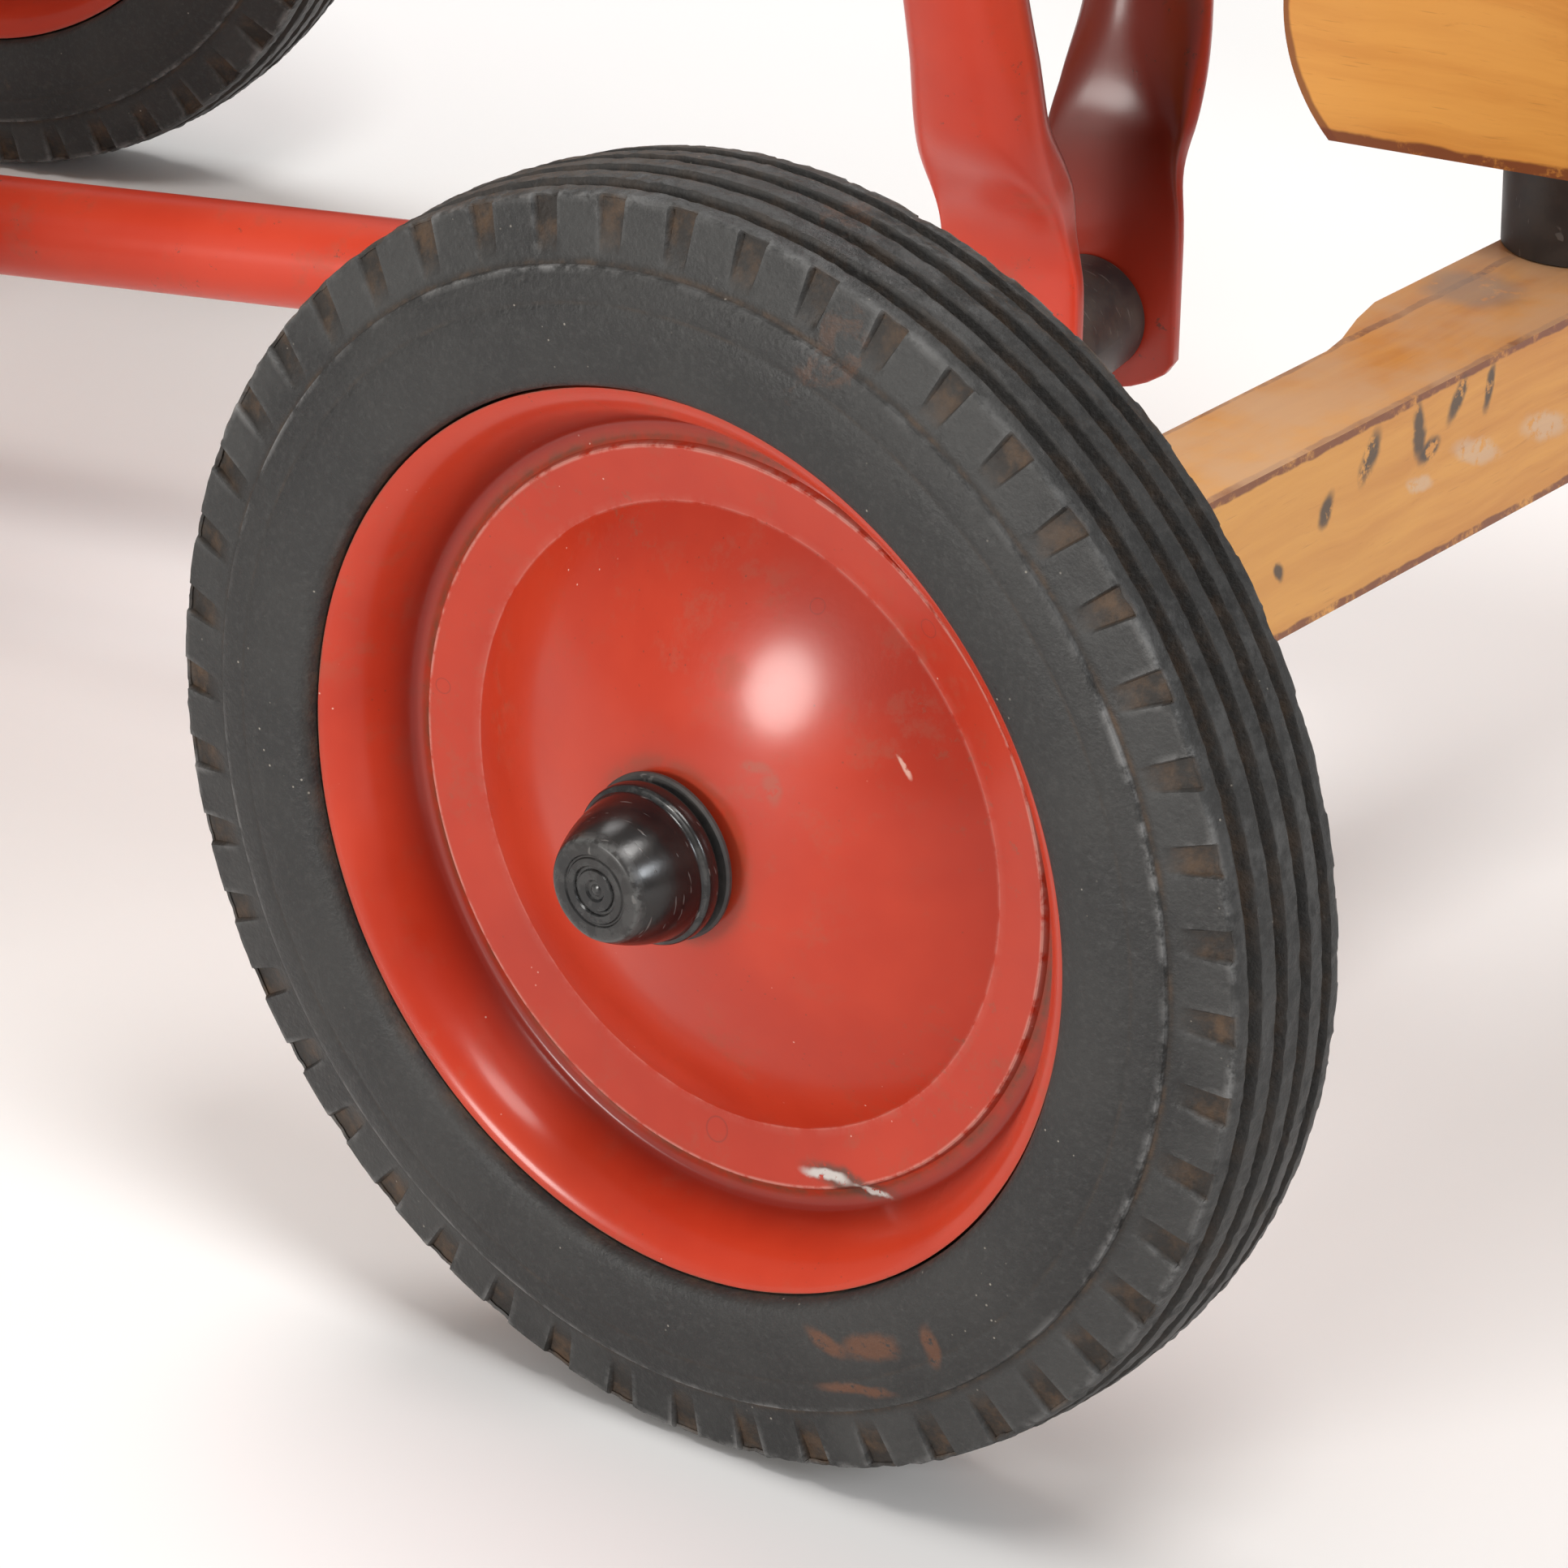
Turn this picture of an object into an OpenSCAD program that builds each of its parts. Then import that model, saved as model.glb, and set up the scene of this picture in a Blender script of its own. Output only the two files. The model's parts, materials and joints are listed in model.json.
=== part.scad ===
// Child's four-wheeled car of wood and steel tube.
// A hand lever drives the cranked rear axle through a connecting rod, and the
// feet turn the front axle beam about its king pin.
// +X is forward, +Y is left, +Z is up, and Z = 0 is the floor.

/* [Layout] */
// Wheelbase, from the king pin to the rear axle
wheelbase = 444; // [420:1:480]
// Half track of the front wheels, at the middle of the tread
front_half_track = 234.6; // [225:0.2:245]
// Half track of the rear wheels, at the middle of the tread
rear_half_track = 194.3; // [185:0.1:215]
// How far the front axle stands turned to the right, in degrees
steer_rest = 11.45; // [0:0.05:20]

/* [Wheels] */
// Radius over the middle rib of the tread, which is also the axle height
wheel_r = 100; // [96:0.5:104]
// Number of lugs on each shoulder of a tyre
lug_count = 48; // [24:1:60]
// Depth of the grooves between the ribs
groove_depth = 2.2; // [1.5:0.1:3]
// Radius of the wheel discs at their lip
rim_r = 70; // [69:0.1:70.2]
// Radius of the axles
axle_r = 5; // [4:0.1:5]

/* [Front axle] */
// Height of the top face of the beam above the floor
beam_top = 119.2; // [116:0.1:122]
// Height of the beam from its bottom face to its top face
beam_h = 30; // [26:0.5:34]
// Height of the black spacer on the king pin
king_spacer_h = 19; // [15:0.5:24]
// Radius of that spacer
king_spacer_r = 13.5; // [12:0.1:15]

/* [Chassis] */
// Width of the pivot block, which is also the gap between the rails
block_w = 44; // [40:1:46]
// Thickness of the rails
rail_t = 18; // [15:1:18]
// Height of the underside of the rails above the floor
rail_bottom = 190; // [188:1:196]
// Height of a rail from edge to edge
rail_h = 50; // [44:1:54]
// Seat board: length, width and thickness
seat_size = [210, 230, 16]; // [12:1:260]

/* [Lever] */
// Radius of the lever's tubes
tube_r = 10; // [9.5:0.1:10.5]
// Height of the lever's fulcrum above the floor
fulcrum_z = 215; // [210:1:222]
// Height of the handlebar above the floor
handlebar_z = 480; // [420:5:520]
// Length of the handlebar
handlebar_l = 300; // [290:5:340]
// Throw of the crank
crank_throw = 40.6; // [36:0.1:42]

/* [Hidden] */
$fn = 64;

// The origin is under the middle of the car, so the king pin stands ahead of it
king_x = 213;
rear_x = king_x - wheelbase;
axle_ahead = 6.6;           // the front axle line lies this far ahead of the king pin
running = 0.05;             // radial play of a running fit
small_hex = [13, 5.3, 6.5]; // width across flats, height of the head, height of the nut
large_hex = [17, 6.4, 8];
bolt_over = 2.5;            // a bolt ends this far past its nut
gap = 0.3;                  // play between faces that slide past each other

// Tyre, measured from the middle of the tread outwards
rib_w = 3;
groove_w = 2.8;
crown_drop = 1.2;
tread_half = rib_w / 2 + 2 * groove_w + rib_w + groove_w;
lip_h = tread_half + 1.5;   // the disc's lip stands this far out from the middle
bead_out = 2.6;             // the sidewall bulges this far past the lip
lug_root_r = wheel_r - 11.2;
lug_slope = 9.2;
lug_recess = 1;

// Wheel discs, measured from the lip inwards
disc_t = 1.6;
ring_r = [49, 58];          // the flat ring of a disc, inside and outside
channel_r = 60.4;
dome_top = 2.6;
outer_depth = [13.2, 11.5]; // depth of the ring, at its inside and outside edge
inner_depth = [12.1, 10.9];
channel_step = 1.4;
hub_bush_r = 8;
hub_half = lip_h + dome_top + 0.1;
washer_r = 13;
washer_t = 1.2;
cap_base = 5.2;             // the cap starts this far out from the lip
cap_tip = 19;
axle_end = 14.5;

// Front axle beam, in plan about the king pin
beam_front = 17.9;
beam_back = 4.7;
beam_back_wide = 11.1;
beam_end = 208;
wide_half = 45;
flare_end = 68;
stub_depth = 62;
collar_r = 9;

// Pivot block and rails
block_bottom = beam_top + king_spacer_h;
block_half = 46.2;
block_corner_r = 35;
block_flat = 26.1;
block_top = rail_bottom + 36;
rail_front = 72;            // ahead of the king pin
rail_rear = 118;            // behind the rear axle
rail_y = block_w / 2 + rail_t / 2;
board_t = 18;
board_y = block_w / 2 + rail_t + board_t / 2;
board_size = [76, board_t, 164];
board_low = 72;
bearing_r = 9;
flange_t = 2;
frame_bolt_r = 4;
block_bolt_x = 27;
board_bolt_x = 22;
rear_block_x = [rear_x - rail_rear + 4, 44];

// Lever and connecting rod; the fork pin is the lower end of the lever
fork_x = king_x - 98.4;
fork_z = 83.3;
fulcrum_x = fork_x + 3;
lever_lean = atan((fulcrum_x - fork_x) / (fulcrum_z - fork_z));
lever_len = norm([fulcrum_x - fork_x, fulcrum_z - fork_z]);
flat_y = 19;                // middle of a flattened end, from the centre plane
flat_t = 4;
flat_w = 29;
flat_up = 22;               // the flat reaches this far above the fork pin
round_up = 52;              // the tube is round again this far above it
flare = 18.5;               // outward slope of the tubes, in degrees
bend_up = 110;
arm_bore = tube_r - 1.5;
fork_bolt_r = 4;
eye_r = 11;
eye_half = 16.6;
rod_r = 9.3;
rod_wall = 1.5;
crank_z = wheel_r - crank_throw;
rear_eye = [16.5, 12.6, 24]; // outer radius, inner radius and width
web_y = 22;
grip_l = 84;
grip_r = 14;
bar_lever_z = handlebar_z - fork_z;

// Seat
seat_x = rear_x - 106;
seat_z = rail_bottom + rail_h;
seat_t = seat_size[2];
back_size = [14, 210, 78];
back_lean = 10;
stay_y = 62;
stay = [4, 22];
back_z = seat_z + seat_t + 44;
stay_h = 128;

wood_colour = [0.86, 0.62, 0.36];
red_paint = [0.72, 0.16, 0.1];
red_plastic = [0.8, 0.2, 0.14];
dark_plastic = [0.1, 0.1, 0.1];
rubber_colour = [0.22, 0.22, 0.22];
steel_colour = [0.7, 0.7, 0.7];

// ---------- helpers ----------

// Turns a shape that stands along +Z so that it runs along +Y
module along_y() { rotate([-90, 0, 0]) children(); }

// A cylinder along Y, centred at x, y, z
module bar_y(x, y, z, r, length) {
    translate([x, y, z]) along_y() cylinder(r = r, h = length, center = true);
}

// Carries what belongs to the front axle to the king pin, turned as it stands
module on_front_axle() {
    translate([king_x, 0, 0]) rotate([0, 0, -steer_rest]) children();
}

// Puts a wheel part, made along +Z outwards from the middle of the tread,
// on the front (1) or rear (0) axle, on the left (1) or right (-1)
module on_wheel(front, side) {
    if (front == 1)
        on_front_axle() translate([axle_ahead, side * front_half_track, wheel_r])
            rotate([-90 * side, 0, 0]) children();
    else
        translate([rear_x, side * rear_half_track, wheel_r])
            rotate([-90 * side, 0, 0]) children();
}

// Mirrors what it carries when flag is true
module mirror_if(flag, axis) { if (flag) mirror(axis) children(); else children(); }

// A bolt along +Z from the underside of its hexagon head
module hex_bolt(size, r, length) {
    translate([0, 0, -size[1]]) hexagon(size[0], size[1]);
    cylinder(r = r, h = length);
}

// A nut along +Z, round a bolt of radius r
module hex_nut(size, r) {
    difference() {
        hexagon(size[0], size[2]);
        translate([0, 0, -1]) cylinder(r = r, h = size[2] + 2);
    }
}

module hexagon(across, h) { cylinder(r = across / 2 / cos(30), h = h, $fn = 6); }

// ---------- wheels ----------

function crown(h) = wheel_r - crown_drop * pow(h / tread_half, 2);

function rib_edges(a, b) = [
    [crown(a), a], [crown(b), b]
];

function groove_floor(a, b) = [
    [crown(a) - groove_depth, a + 0.3], [crown(b) - groove_depth, b - 0.3]
];

g1 = rib_w / 2;
g2 = g1 + groove_w;
g3 = g2 + rib_w;
g4 = g3 + groove_w;

// Half section of the tyre, from the middle of the tread to the bore
tyre_half = concat(
    rib_edges(0, g1), groove_floor(g1, g2),
    rib_edges(g2, g3), groove_floor(g3, g4),
    rib_edges(g4, tread_half),
    [
        [lug_root_r + 0.2, lip_h + 0.1], [lug_root_r - 0.3, lip_h + 0.9],
        [rim_r + 14, lip_h + bead_out - 0.5], [rim_r + 10, lip_h + bead_out],
        [rim_r + 5, lip_h + bead_out], [rim_r + 2, lip_h + bead_out - 0.3],
        [rim_r + 0.8, lip_h + 1.6], [rim_r + 0.6, lip_h - 0.5],
        [rim_r - 4, 3], [rim_r - 4, 0]
    ]
);

// The other half is the same outline mirrored, without the two points they share
tyre_section = concat(tyre_half,
    [for (i = [len(tyre_half) - 2 : -1 : 1]) [tyre_half[i][0], -tyre_half[i][1]]]);

// One ring of recesses between the lugs, on the side that faces +Z
module lug_recesses() {
    for (i = [0 : lug_count - 1])
        rotate([0, 0, i * 360 / lug_count])
            translate([lug_root_r + 0.7, 0, lip_h - lug_recess])
                rotate([0, lug_slope, 0])
                    translate([0, -2.1, 0]) cube([14, 4.2, 6]);
}

module tyre(front, side) {
    color(rubber_colour) on_wheel(front, side) difference() {
        rotate_extrude($fn = 128) polygon(tyre_section);
        lug_recesses();
        mirror([0, 0, 1]) lug_recesses();
    }
}

// Shown face of a disc from the bore to the lip: radius and height
function dome(r, depth) = lip_h + dome_top - (dome_top + depth) * pow(r / ring_r[0], 2);

function disc_face(depth) = concat(
    [for (r = [hub_bush_r : (ring_r[0] - hub_bush_r) / 8 : ring_r[0]]) [r, dome(r, depth[0])]],
    [
        [ring_r[1], lip_h - depth[1]],
        [ring_r[1] + 0.6, lip_h - depth[1] - channel_step * 0.8],
        [channel_r, lip_h - depth[1] - channel_step],
        [channel_r + 2, lip_h - depth[1] + 0.6],
        [rim_r - 4.6, lip_h - 6.5],
        [rim_r - 2.2, lip_h - 2.2],
        [rim_r - 1.2, lip_h - 0.4],
        [rim_r - 0.5, lip_h]
    ]
);

function flip(list) = [for (i = [len(list) - 1 : -1 : 0]) list[i]];

// The back of a disc follows its face, shifted down and, in the channel, outwards
function disc_back(depth) = [
    for (p = flip(disc_face(depth)))
        [p[0] > channel_r ? p[0] + 1.3 * min(1, (lip_h - p[1]) / 2) : p[0],
            p[1] - disc_t]
];

module disc(front, side, depth, face) {
    color(red_plastic) on_wheel(front, side) mirror_if(face == "inner", [0, 0, 1])
        rotate_extrude($fn = 128) polygon(concat(disc_face(depth), disc_back(depth)));
}

module hub_bush(front, side) {
    color(dark_plastic) on_wheel(front, side) difference() {
        cylinder(r = hub_bush_r, h = 2 * hub_half, center = true);
        cylinder(r = axle_r + running, h = 3 * hub_half, center = true);
    }
}

module cap(front, side) {
    color(dark_plastic) on_wheel(front, side) translate([0, 0, lip_h])
        rotate_extrude() polygon([
            [0, axle_end + 0.5], [axle_r, axle_end + 0.5], [axle_r, cap_base],
            [11.8, cap_base], [12.5, cap_base + 0.7], [12.5, cap_base + 1.9],
            [11.9, cap_base + 2.4], [11.5, cap_base + 4.5], [10.9, cap_base + 7],
            [9.9, cap_base + 10], [8.6, cap_tip - 0.6], [7.9, cap_tip], [0, cap_tip]
        ]);
}

module washer(front, side) {
    color(dark_plastic) on_wheel(front, side)
        translate([0, 0, hub_half + gap]) difference() {
            cylinder(r = washer_r, h = washer_t);
            translate([0, 0, -1]) cylinder(r = axle_r, h = washer_t + 2);
        }
}

// ---------- front axle ----------

// Plan of the beam: straight in front, wider behind around the king pin
module beam_plan() {
    polygon([
        [beam_front, -beam_end], [beam_front, beam_end],
        [-beam_back, beam_end], [-beam_back, flare_end],
        [-beam_back - 1.2, flare_end - 6], [-beam_back - 4.4, flare_end - 15],
        [-beam_back_wide, wide_half], [-beam_back_wide, -wide_half],
        [-beam_back - 4.4, -flare_end + 15], [-beam_back - 1.2, -flare_end + 6],
        [-beam_back, -flare_end], [-beam_back, -beam_end]
    ]);
}

module steering_beam() {
    color(wood_colour) on_front_axle() difference() {
        translate([0, 0, beam_top - beam_h]) linear_extrude(beam_h) beam_plan();
        translate([0, 0, beam_top - beam_h - 1]) cylinder(r = axle_r + running, h = beam_h + 2);
        for (side = [-1, 1])
            bar_y(axle_ahead, side * beam_end, wheel_r, axle_r, 2 * stub_depth);
    }
}

module stub_axle(side) {
    color(steel_colour) on_front_axle() translate([axle_ahead, 0, wheel_r])
        rotate([-90 * side, 0, 0])
            translate([0, 0, beam_end - stub_depth])
                cylinder(r = axle_r,
                    h = front_half_track + lip_h + axle_end - beam_end + stub_depth);
}

module front_collars() {
    collar_l = front_half_track - hub_half - beam_end - gap;
    color(steel_colour) for (side = [-1, 1])
        on_front_axle() translate([axle_ahead, side * (beam_end + collar_l / 2), wheel_r])
            along_y() difference() {
                cylinder(r = collar_r, h = collar_l, center = true);
                cylinder(r = axle_r, h = collar_l + 2, center = true);
            }
}

// ---------- king pin ----------

king_washer_t = 2;
king_under = beam_top - beam_h - gap - king_washer_t;
king_over = block_top + king_washer_t;

module king_pin_bolt() {
    color(steel_colour) translate([king_x, 0, king_under])
        hex_bolt(large_hex, axle_r, king_over - king_under + large_hex[2] + bolt_over);
}

module king_pin_washers() {
    color(steel_colour) for (z = [king_under, block_top])
        translate([king_x, 0, z]) difference() {
            cylinder(r = 11, h = king_washer_t);
            translate([0, 0, -1]) cylinder(r = axle_r, h = king_washer_t + 2);
        }
}

module king_pin_nut() {
    color(steel_colour) translate([king_x, 0, king_over]) hex_nut(large_hex, axle_r);
}

module king_pin_spacer() {
    color(dark_plastic) translate([king_x, 0, beam_top + gap]) difference() {
        cylinder(r = king_spacer_r, h = king_spacer_h - gap);
        translate([0, 0, -1]) cylinder(r = axle_r, h = king_spacer_h + 2);
    }
}

// ---------- chassis ----------

// Side view of the pivot block, with its lower corners rounded
module block_outline() {
    corner_x = block_half - block_corner_r;
    corner_z = block_bottom + sqrt(pow(block_corner_r, 2) - pow(block_flat, 2));
    intersection() {
        union() {
            for (side = [-1, 1])
                translate([side * corner_x, corner_z]) circle(r = block_corner_r);
            translate([-corner_x, corner_z - block_corner_r]) square([2 * corner_x, block_corner_r]);
            translate([-block_half, corner_z]) square([2 * block_half, block_top - corner_z]);
        }
        translate([-block_half, block_bottom])
            square([2 * block_half, block_top - block_bottom]);
    }
}

// Turns an outline drawn in X and Z into a board, centred on y
module board(y, thickness) {
    translate([0, y, 0]) rotate([90, 0, 0])
        translate([0, 0, -thickness / 2]) linear_extrude(thickness) children();
}

// Places of the bolts through the rails: X, Z and half length of the shank
bolt_places = [
    [king_x - block_bolt_x, rail_bottom + 22, block_w / 2 + rail_t],
    [king_x + block_bolt_x, rail_bottom + 22, block_w / 2 + rail_t],
    [rear_x - board_bolt_x, rail_bottom + 14, block_w / 2 + rail_t + board_t],
    [rear_x + board_bolt_x, rail_bottom + 34, block_w / 2 + rail_t + board_t],
    [rear_block_x[0] + rear_block_x[1] / 2, rail_bottom + 25, block_w / 2 + rail_t]
];

module bolt_holes() {
    for (p = bolt_places) bar_y(p[0], 0, p[1], frame_bolt_r, 4 * block_w);
}

module pivot_block() {
    color(wood_colour) difference() {
        translate([king_x, 0, 0]) board(0, block_w) block_outline();
        translate([king_x, 0, 0]) cylinder(r = axle_r, h = block_top + 1);
        bolt_holes();
    }
}

module rail(side) {
    color(wood_colour) difference() {
        board(side * rail_y, rail_t) union() {
            translate([rear_x - rail_rear, rail_bottom])
                square([wheelbase + rail_rear + rail_front - rail_h / 2, rail_h]);
            translate([king_x + rail_front - rail_h / 2, rail_bottom + rail_h / 2])
                circle(r = rail_h / 2);
        }
        bolt_holes();
        bar_y(fulcrum_x, 0, fulcrum_z, axle_r, 4 * block_w);
    }
}

// A bearing board hangs from the outside of each rail and carries the rear axle
module bearing_board(side) {
    color(wood_colour) difference() {
        board(side * board_y, board_t) union() {
            translate([rear_x - board_size[0] / 2, board_low + board_size[0] / 2])
                square([board_size[0], board_size[2] - board_size[0] / 2]);
            translate([rear_x, board_low + board_size[0] / 2]) circle(r = board_size[0] / 2);
        }
        bar_y(rear_x, 0, wheel_r, bearing_r, 4 * block_w);
        bolt_holes();
    }
}

module axle_bearing(side) {
    color(steel_colour) translate([rear_x, side * board_y, wheel_r]) along_y() difference() {
        union() {
            cylinder(r = bearing_r, h = board_t, center = true);
            translate([0, 0, side > 0 ? board_t / 2 : -board_t / 2 - flange_t])
                cylinder(r = bearing_r + 4, h = flange_t);
        }
        cylinder(r = axle_r + running, h = 2 * board_t, center = true);
    }
}

module rear_block() {
    color(wood_colour) difference() {
        translate([rear_block_x[0], -block_w / 2, rail_bottom + 2])
            cube([rear_block_x[1], block_w, rail_h - 4]);
        bolt_holes();
    }
}

// Round-headed bolts through rails, blocks and boards, each with its nut
module frame_bolts() {
    color(steel_colour) for (p = bolt_places) {
        translate([p[0], -p[2], p[1]]) along_y() {
            translate([0, 0, -3.6]) cylinder(r1 = 5.5, r2 = 9, h = 3.6);
            cylinder(r = frame_bolt_r, h = 2 * p[2] + small_hex[2] + bolt_over);
        }
        translate([p[0], p[2], p[1]]) along_y() hex_nut(small_hex, frame_bolt_r);
    }
}

// ---------- rear axle ----------

module crank_axle() {
    axle_out = rear_half_track + lip_h + axle_end;
    color(steel_colour) translate([rear_x, 0, 0]) {
        for (side = [-1, 1]) {
            bar_y(0, side * (axle_out + web_y) / 2, wheel_r, axle_r, axle_out - web_y);
            translate([0, side * web_y, crank_z]) cylinder(r = axle_r, h = crank_throw);
            for (z = [crank_z, wheel_r]) translate([0, side * web_y, z]) sphere(r = axle_r);
        }
        bar_y(0, 0, crank_z, axle_r, 2 * web_y);
    }
}

module rear_collars() {
    collar_l = 8;
    inner = block_w / 2 + rail_t + board_t + flange_t + gap;
    outer = rear_half_track - hub_half - gap - collar_l;
    color(steel_colour) for (side = [-1, 1], y = [inner, outer])
        translate([rear_x, side * (y + collar_l / 2), wheel_r]) along_y() difference() {
            cylinder(r = collar_r, h = collar_l, center = true);
            cylinder(r = axle_r, h = collar_l + 2, center = true);
        }
}

// ---------- connecting rod ----------

rod_span = [fork_x - rear_x, fork_z - crank_z];
rod_len = norm(rod_span);
rod_tilt = atan(rod_span[1] / rod_span[0]);

// Carries what is drawn from the crank pin along +X towards the fork pin
module on_rod() { translate([rear_x, 0, crank_z]) rotate([0, -rod_tilt, 0]) children(); }

module rod_tube() {
    color(red_paint) on_rod() difference() {
        rotate([0, 90, 0]) difference() {
            cylinder(r = rod_r, h = rod_len);
            translate([0, 0, -1]) cylinder(r = rod_r - rod_wall, h = rod_len + 2);
        }
        bar_y(0, 0, 0, rear_eye[0], rear_eye[2] + 20);
        bar_y(rod_len, 0, 0, eye_r, 60);
    }
}

module ring_y(x, outer, inner, width) {
    translate([x, 0, 0]) along_y() difference() {
        cylinder(r = outer, h = width, center = true);
        cylinder(r = inner, h = width + 2, center = true);
    }
}

module rod_front_eye() {
    color(dark_plastic) on_rod() ring_y(rod_len, eye_r, 7, 2 * eye_half - 0.6);
}

module rod_front_bush() {
    color(dark_plastic) on_rod() ring_y(rod_len, 7, fork_bolt_r + running, 2 * eye_half);
}

module rod_rear_eye() {
    color(red_paint) on_rod() ring_y(0, rear_eye[0], rear_eye[1], rear_eye[2]);
}

module rod_rear_bush() {
    color(rubber_colour) on_rod()
        ring_y(0, rear_eye[1], axle_r + running, rear_eye[2] + 4);
}

// ---------- lever ----------

// Carries what is drawn from the fork pin upwards along the lever
module on_lever() { translate([fork_x, 0, fork_z]) rotate([0, lever_lean, 0]) children(); }

function arm_at(h) = flat_y + 1.5 + tan(flare) * (h - 14);

// Solid part of an arm on the left: the flattened end and where it turns round
module arm_end() {
    intersection() {
        translate([-flat_w / 2, flat_y - flat_t / 2, -14])
            cube([flat_w, flat_t, flat_up + 14]);
        bar_y(0, flat_y, 6.5, 20.5, 2 * flat_t);
    }
    translate([-flat_w / 2, flat_y - flat_t / 2, 6]) cube([flat_w, flat_t, flat_up - 6]);
    hull() {
        translate([-flat_w / 2, flat_y - flat_t / 2, flat_up - 2]) cube([flat_w, flat_t, 2]);
        translate([0, arm_at(round_up), round_up]) rotate([-flare, 0, 0])
            cylinder(r = tube_r - 0.1, h = 2, $fn = 40);
    }
}

// The tube leans outwards above the flattened end, then turns upright at a knuckle
bend_y = arm_at(bend_up);
knuckle = 0.3;              // the knuckle stands this far proud of the tube
plug_l = 6;                 // the tube is solid for this far above the flattened end
weld_gap = 3;               // the tube stops this far below the handlebar's axis

module arm_path(r, start, top) {
    translate([0, arm_at(round_up), round_up]) rotate([-flare, 0, 0])
        translate([0, 0, start])
            cylinder(r = r, h = (bend_up - round_up) / cos(flare) - start);
    translate([0, bend_y, bend_up]) {
        sphere(r = r + knuckle);
        cylinder(r = r, h = top - bend_up);
    }
}

module lever_arm(side) {
    color(red_paint) on_lever() mirror_if(side < 0, [0, 1, 0]) difference() {
        union() {
            arm_end();
            arm_path(tube_r, 0, bar_lever_z - weld_gap);
        }
        arm_path(arm_bore, plug_l, bar_lever_z);
        bar_y(0, flat_y, 0, fork_bolt_r, 3 * flat_t);
        bar_y(0, bend_y, lever_len, axle_r + running, 4 * tube_r);
        bar_y(0, bend_y, bar_lever_z, tube_r, 4 * tube_r);
    }
}

module fork_bolt() {
    half = flat_y + flat_t / 2;
    color(steel_colour) on_lever() translate([0, -half, 0]) along_y()
        hex_bolt(small_hex, fork_bolt_r, 2 * half + small_hex[2] + bolt_over);
}

module fork_nut() {
    color(steel_colour) on_lever() translate([0, flat_y + flat_t / 2, 0]) along_y()
        hex_nut(small_hex, fork_bolt_r);
}

module handlebar() {
    color(red_paint) on_lever() translate([0, 0, bar_lever_z]) along_y() difference() {
        cylinder(r = tube_r, h = handlebar_l, center = true);
        cylinder(r = arm_bore, h = handlebar_l + 2, center = true);
    }
}

module grip(side) {
    color(dark_plastic) on_lever() translate([0, 0, bar_lever_z]) rotate([-90 * side, 0, 0])
        translate([0, 0, handlebar_l / 2 + 4 - grip_l]) rotate_extrude() polygon([
            [tube_r, 0], [grip_r + 4, 0], [grip_r + 4.6, 1.5], [grip_r + 4, 3],
            [grip_r, 5], [grip_r, grip_l - 8], [grip_r + 1.5, grip_l - 5],
            [grip_r + 1, grip_l - 1], [grip_r - 1, grip_l], [0, grip_l],
            [0, grip_l - 3.5], [tube_r, grip_l - 3.5]
        ]);
}

// ---------- fulcrum ----------

pin_half = bend_y + tube_r + 2;

module fulcrum_pin() {
    color(steel_colour) translate([fulcrum_x, -pin_half, fulcrum_z]) along_y()
        hex_bolt(large_hex, axle_r, 2 * pin_half + large_hex[2] + bolt_over);
}

module fulcrum_nut() {
    color(steel_colour) translate([fulcrum_x, pin_half, fulcrum_z]) along_y()
        hex_nut(large_hex, axle_r);
}

// Tubes that hold the arms clear of the rails, and one between the rails
module fulcrum_spacers() {
    rail_out = block_w / 2 + rail_t;
    side_l = bend_y - tube_r - gap - rail_out;
    places = [[0, block_w], [rail_out + side_l / 2, side_l], [-rail_out - side_l / 2, side_l]];
    color(steel_colour) for (p = places)
        translate([fulcrum_x, p[0], fulcrum_z]) along_y() difference() {
            cylinder(r = 8, h = p[1], center = true);
            cylinder(r = axle_r, h = p[1] + 2, center = true);
        }
}

// ---------- seat ----------

seat_corner = 28;
screw_r = 3;
screw_head_r = 5.5;
screw_head_h = 2;
screw_sink = 2.3;           // the seat's screw heads lie in holes this deep
back_shift = 3.2;           // the back's foot stands this far behind the seat
back_screws = [20, back_size[2] - 20];
stay_screws = [22, 58];

// Places of the seat's screws into the rails: X and Y
seat_screws = [for (x = [35, seat_size[0] - 35], side = [-1, 1]) [x, side * rail_y]];

module seat_board() {
    color(wood_colour) difference() {
        translate([seat_x, 0, seat_z]) linear_extrude(seat_t) union() {
            for (x = [seat_corner, seat_size[0] - seat_corner], side = [-1, 1])
                translate([x, side * (seat_size[1] / 2 - seat_corner)]) circle(r = seat_corner);
            translate([seat_corner, -seat_size[1] / 2])
                square([seat_size[0] - 2 * seat_corner, seat_size[1]]);
            translate([0, seat_corner - seat_size[1] / 2])
                square([seat_size[0], seat_size[1] - 2 * seat_corner]);
        }
        for (p = seat_screws) translate([seat_x + p[0], p[1], seat_z]) {
            translate([0, 0, -1]) cylinder(r = screw_r, h = seat_t + 2);
            translate([0, 0, seat_t - screw_sink]) cylinder(r = screw_head_r + 0.3, h = screw_sink + 1);
        }
    }
}

// Carries what is drawn up the back of the seat, leaning backwards
module on_back() {
    translate([seat_x - back_shift, 0, seat_z + seat_t]) rotate([0, -back_lean, 0]) children();
}

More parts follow.
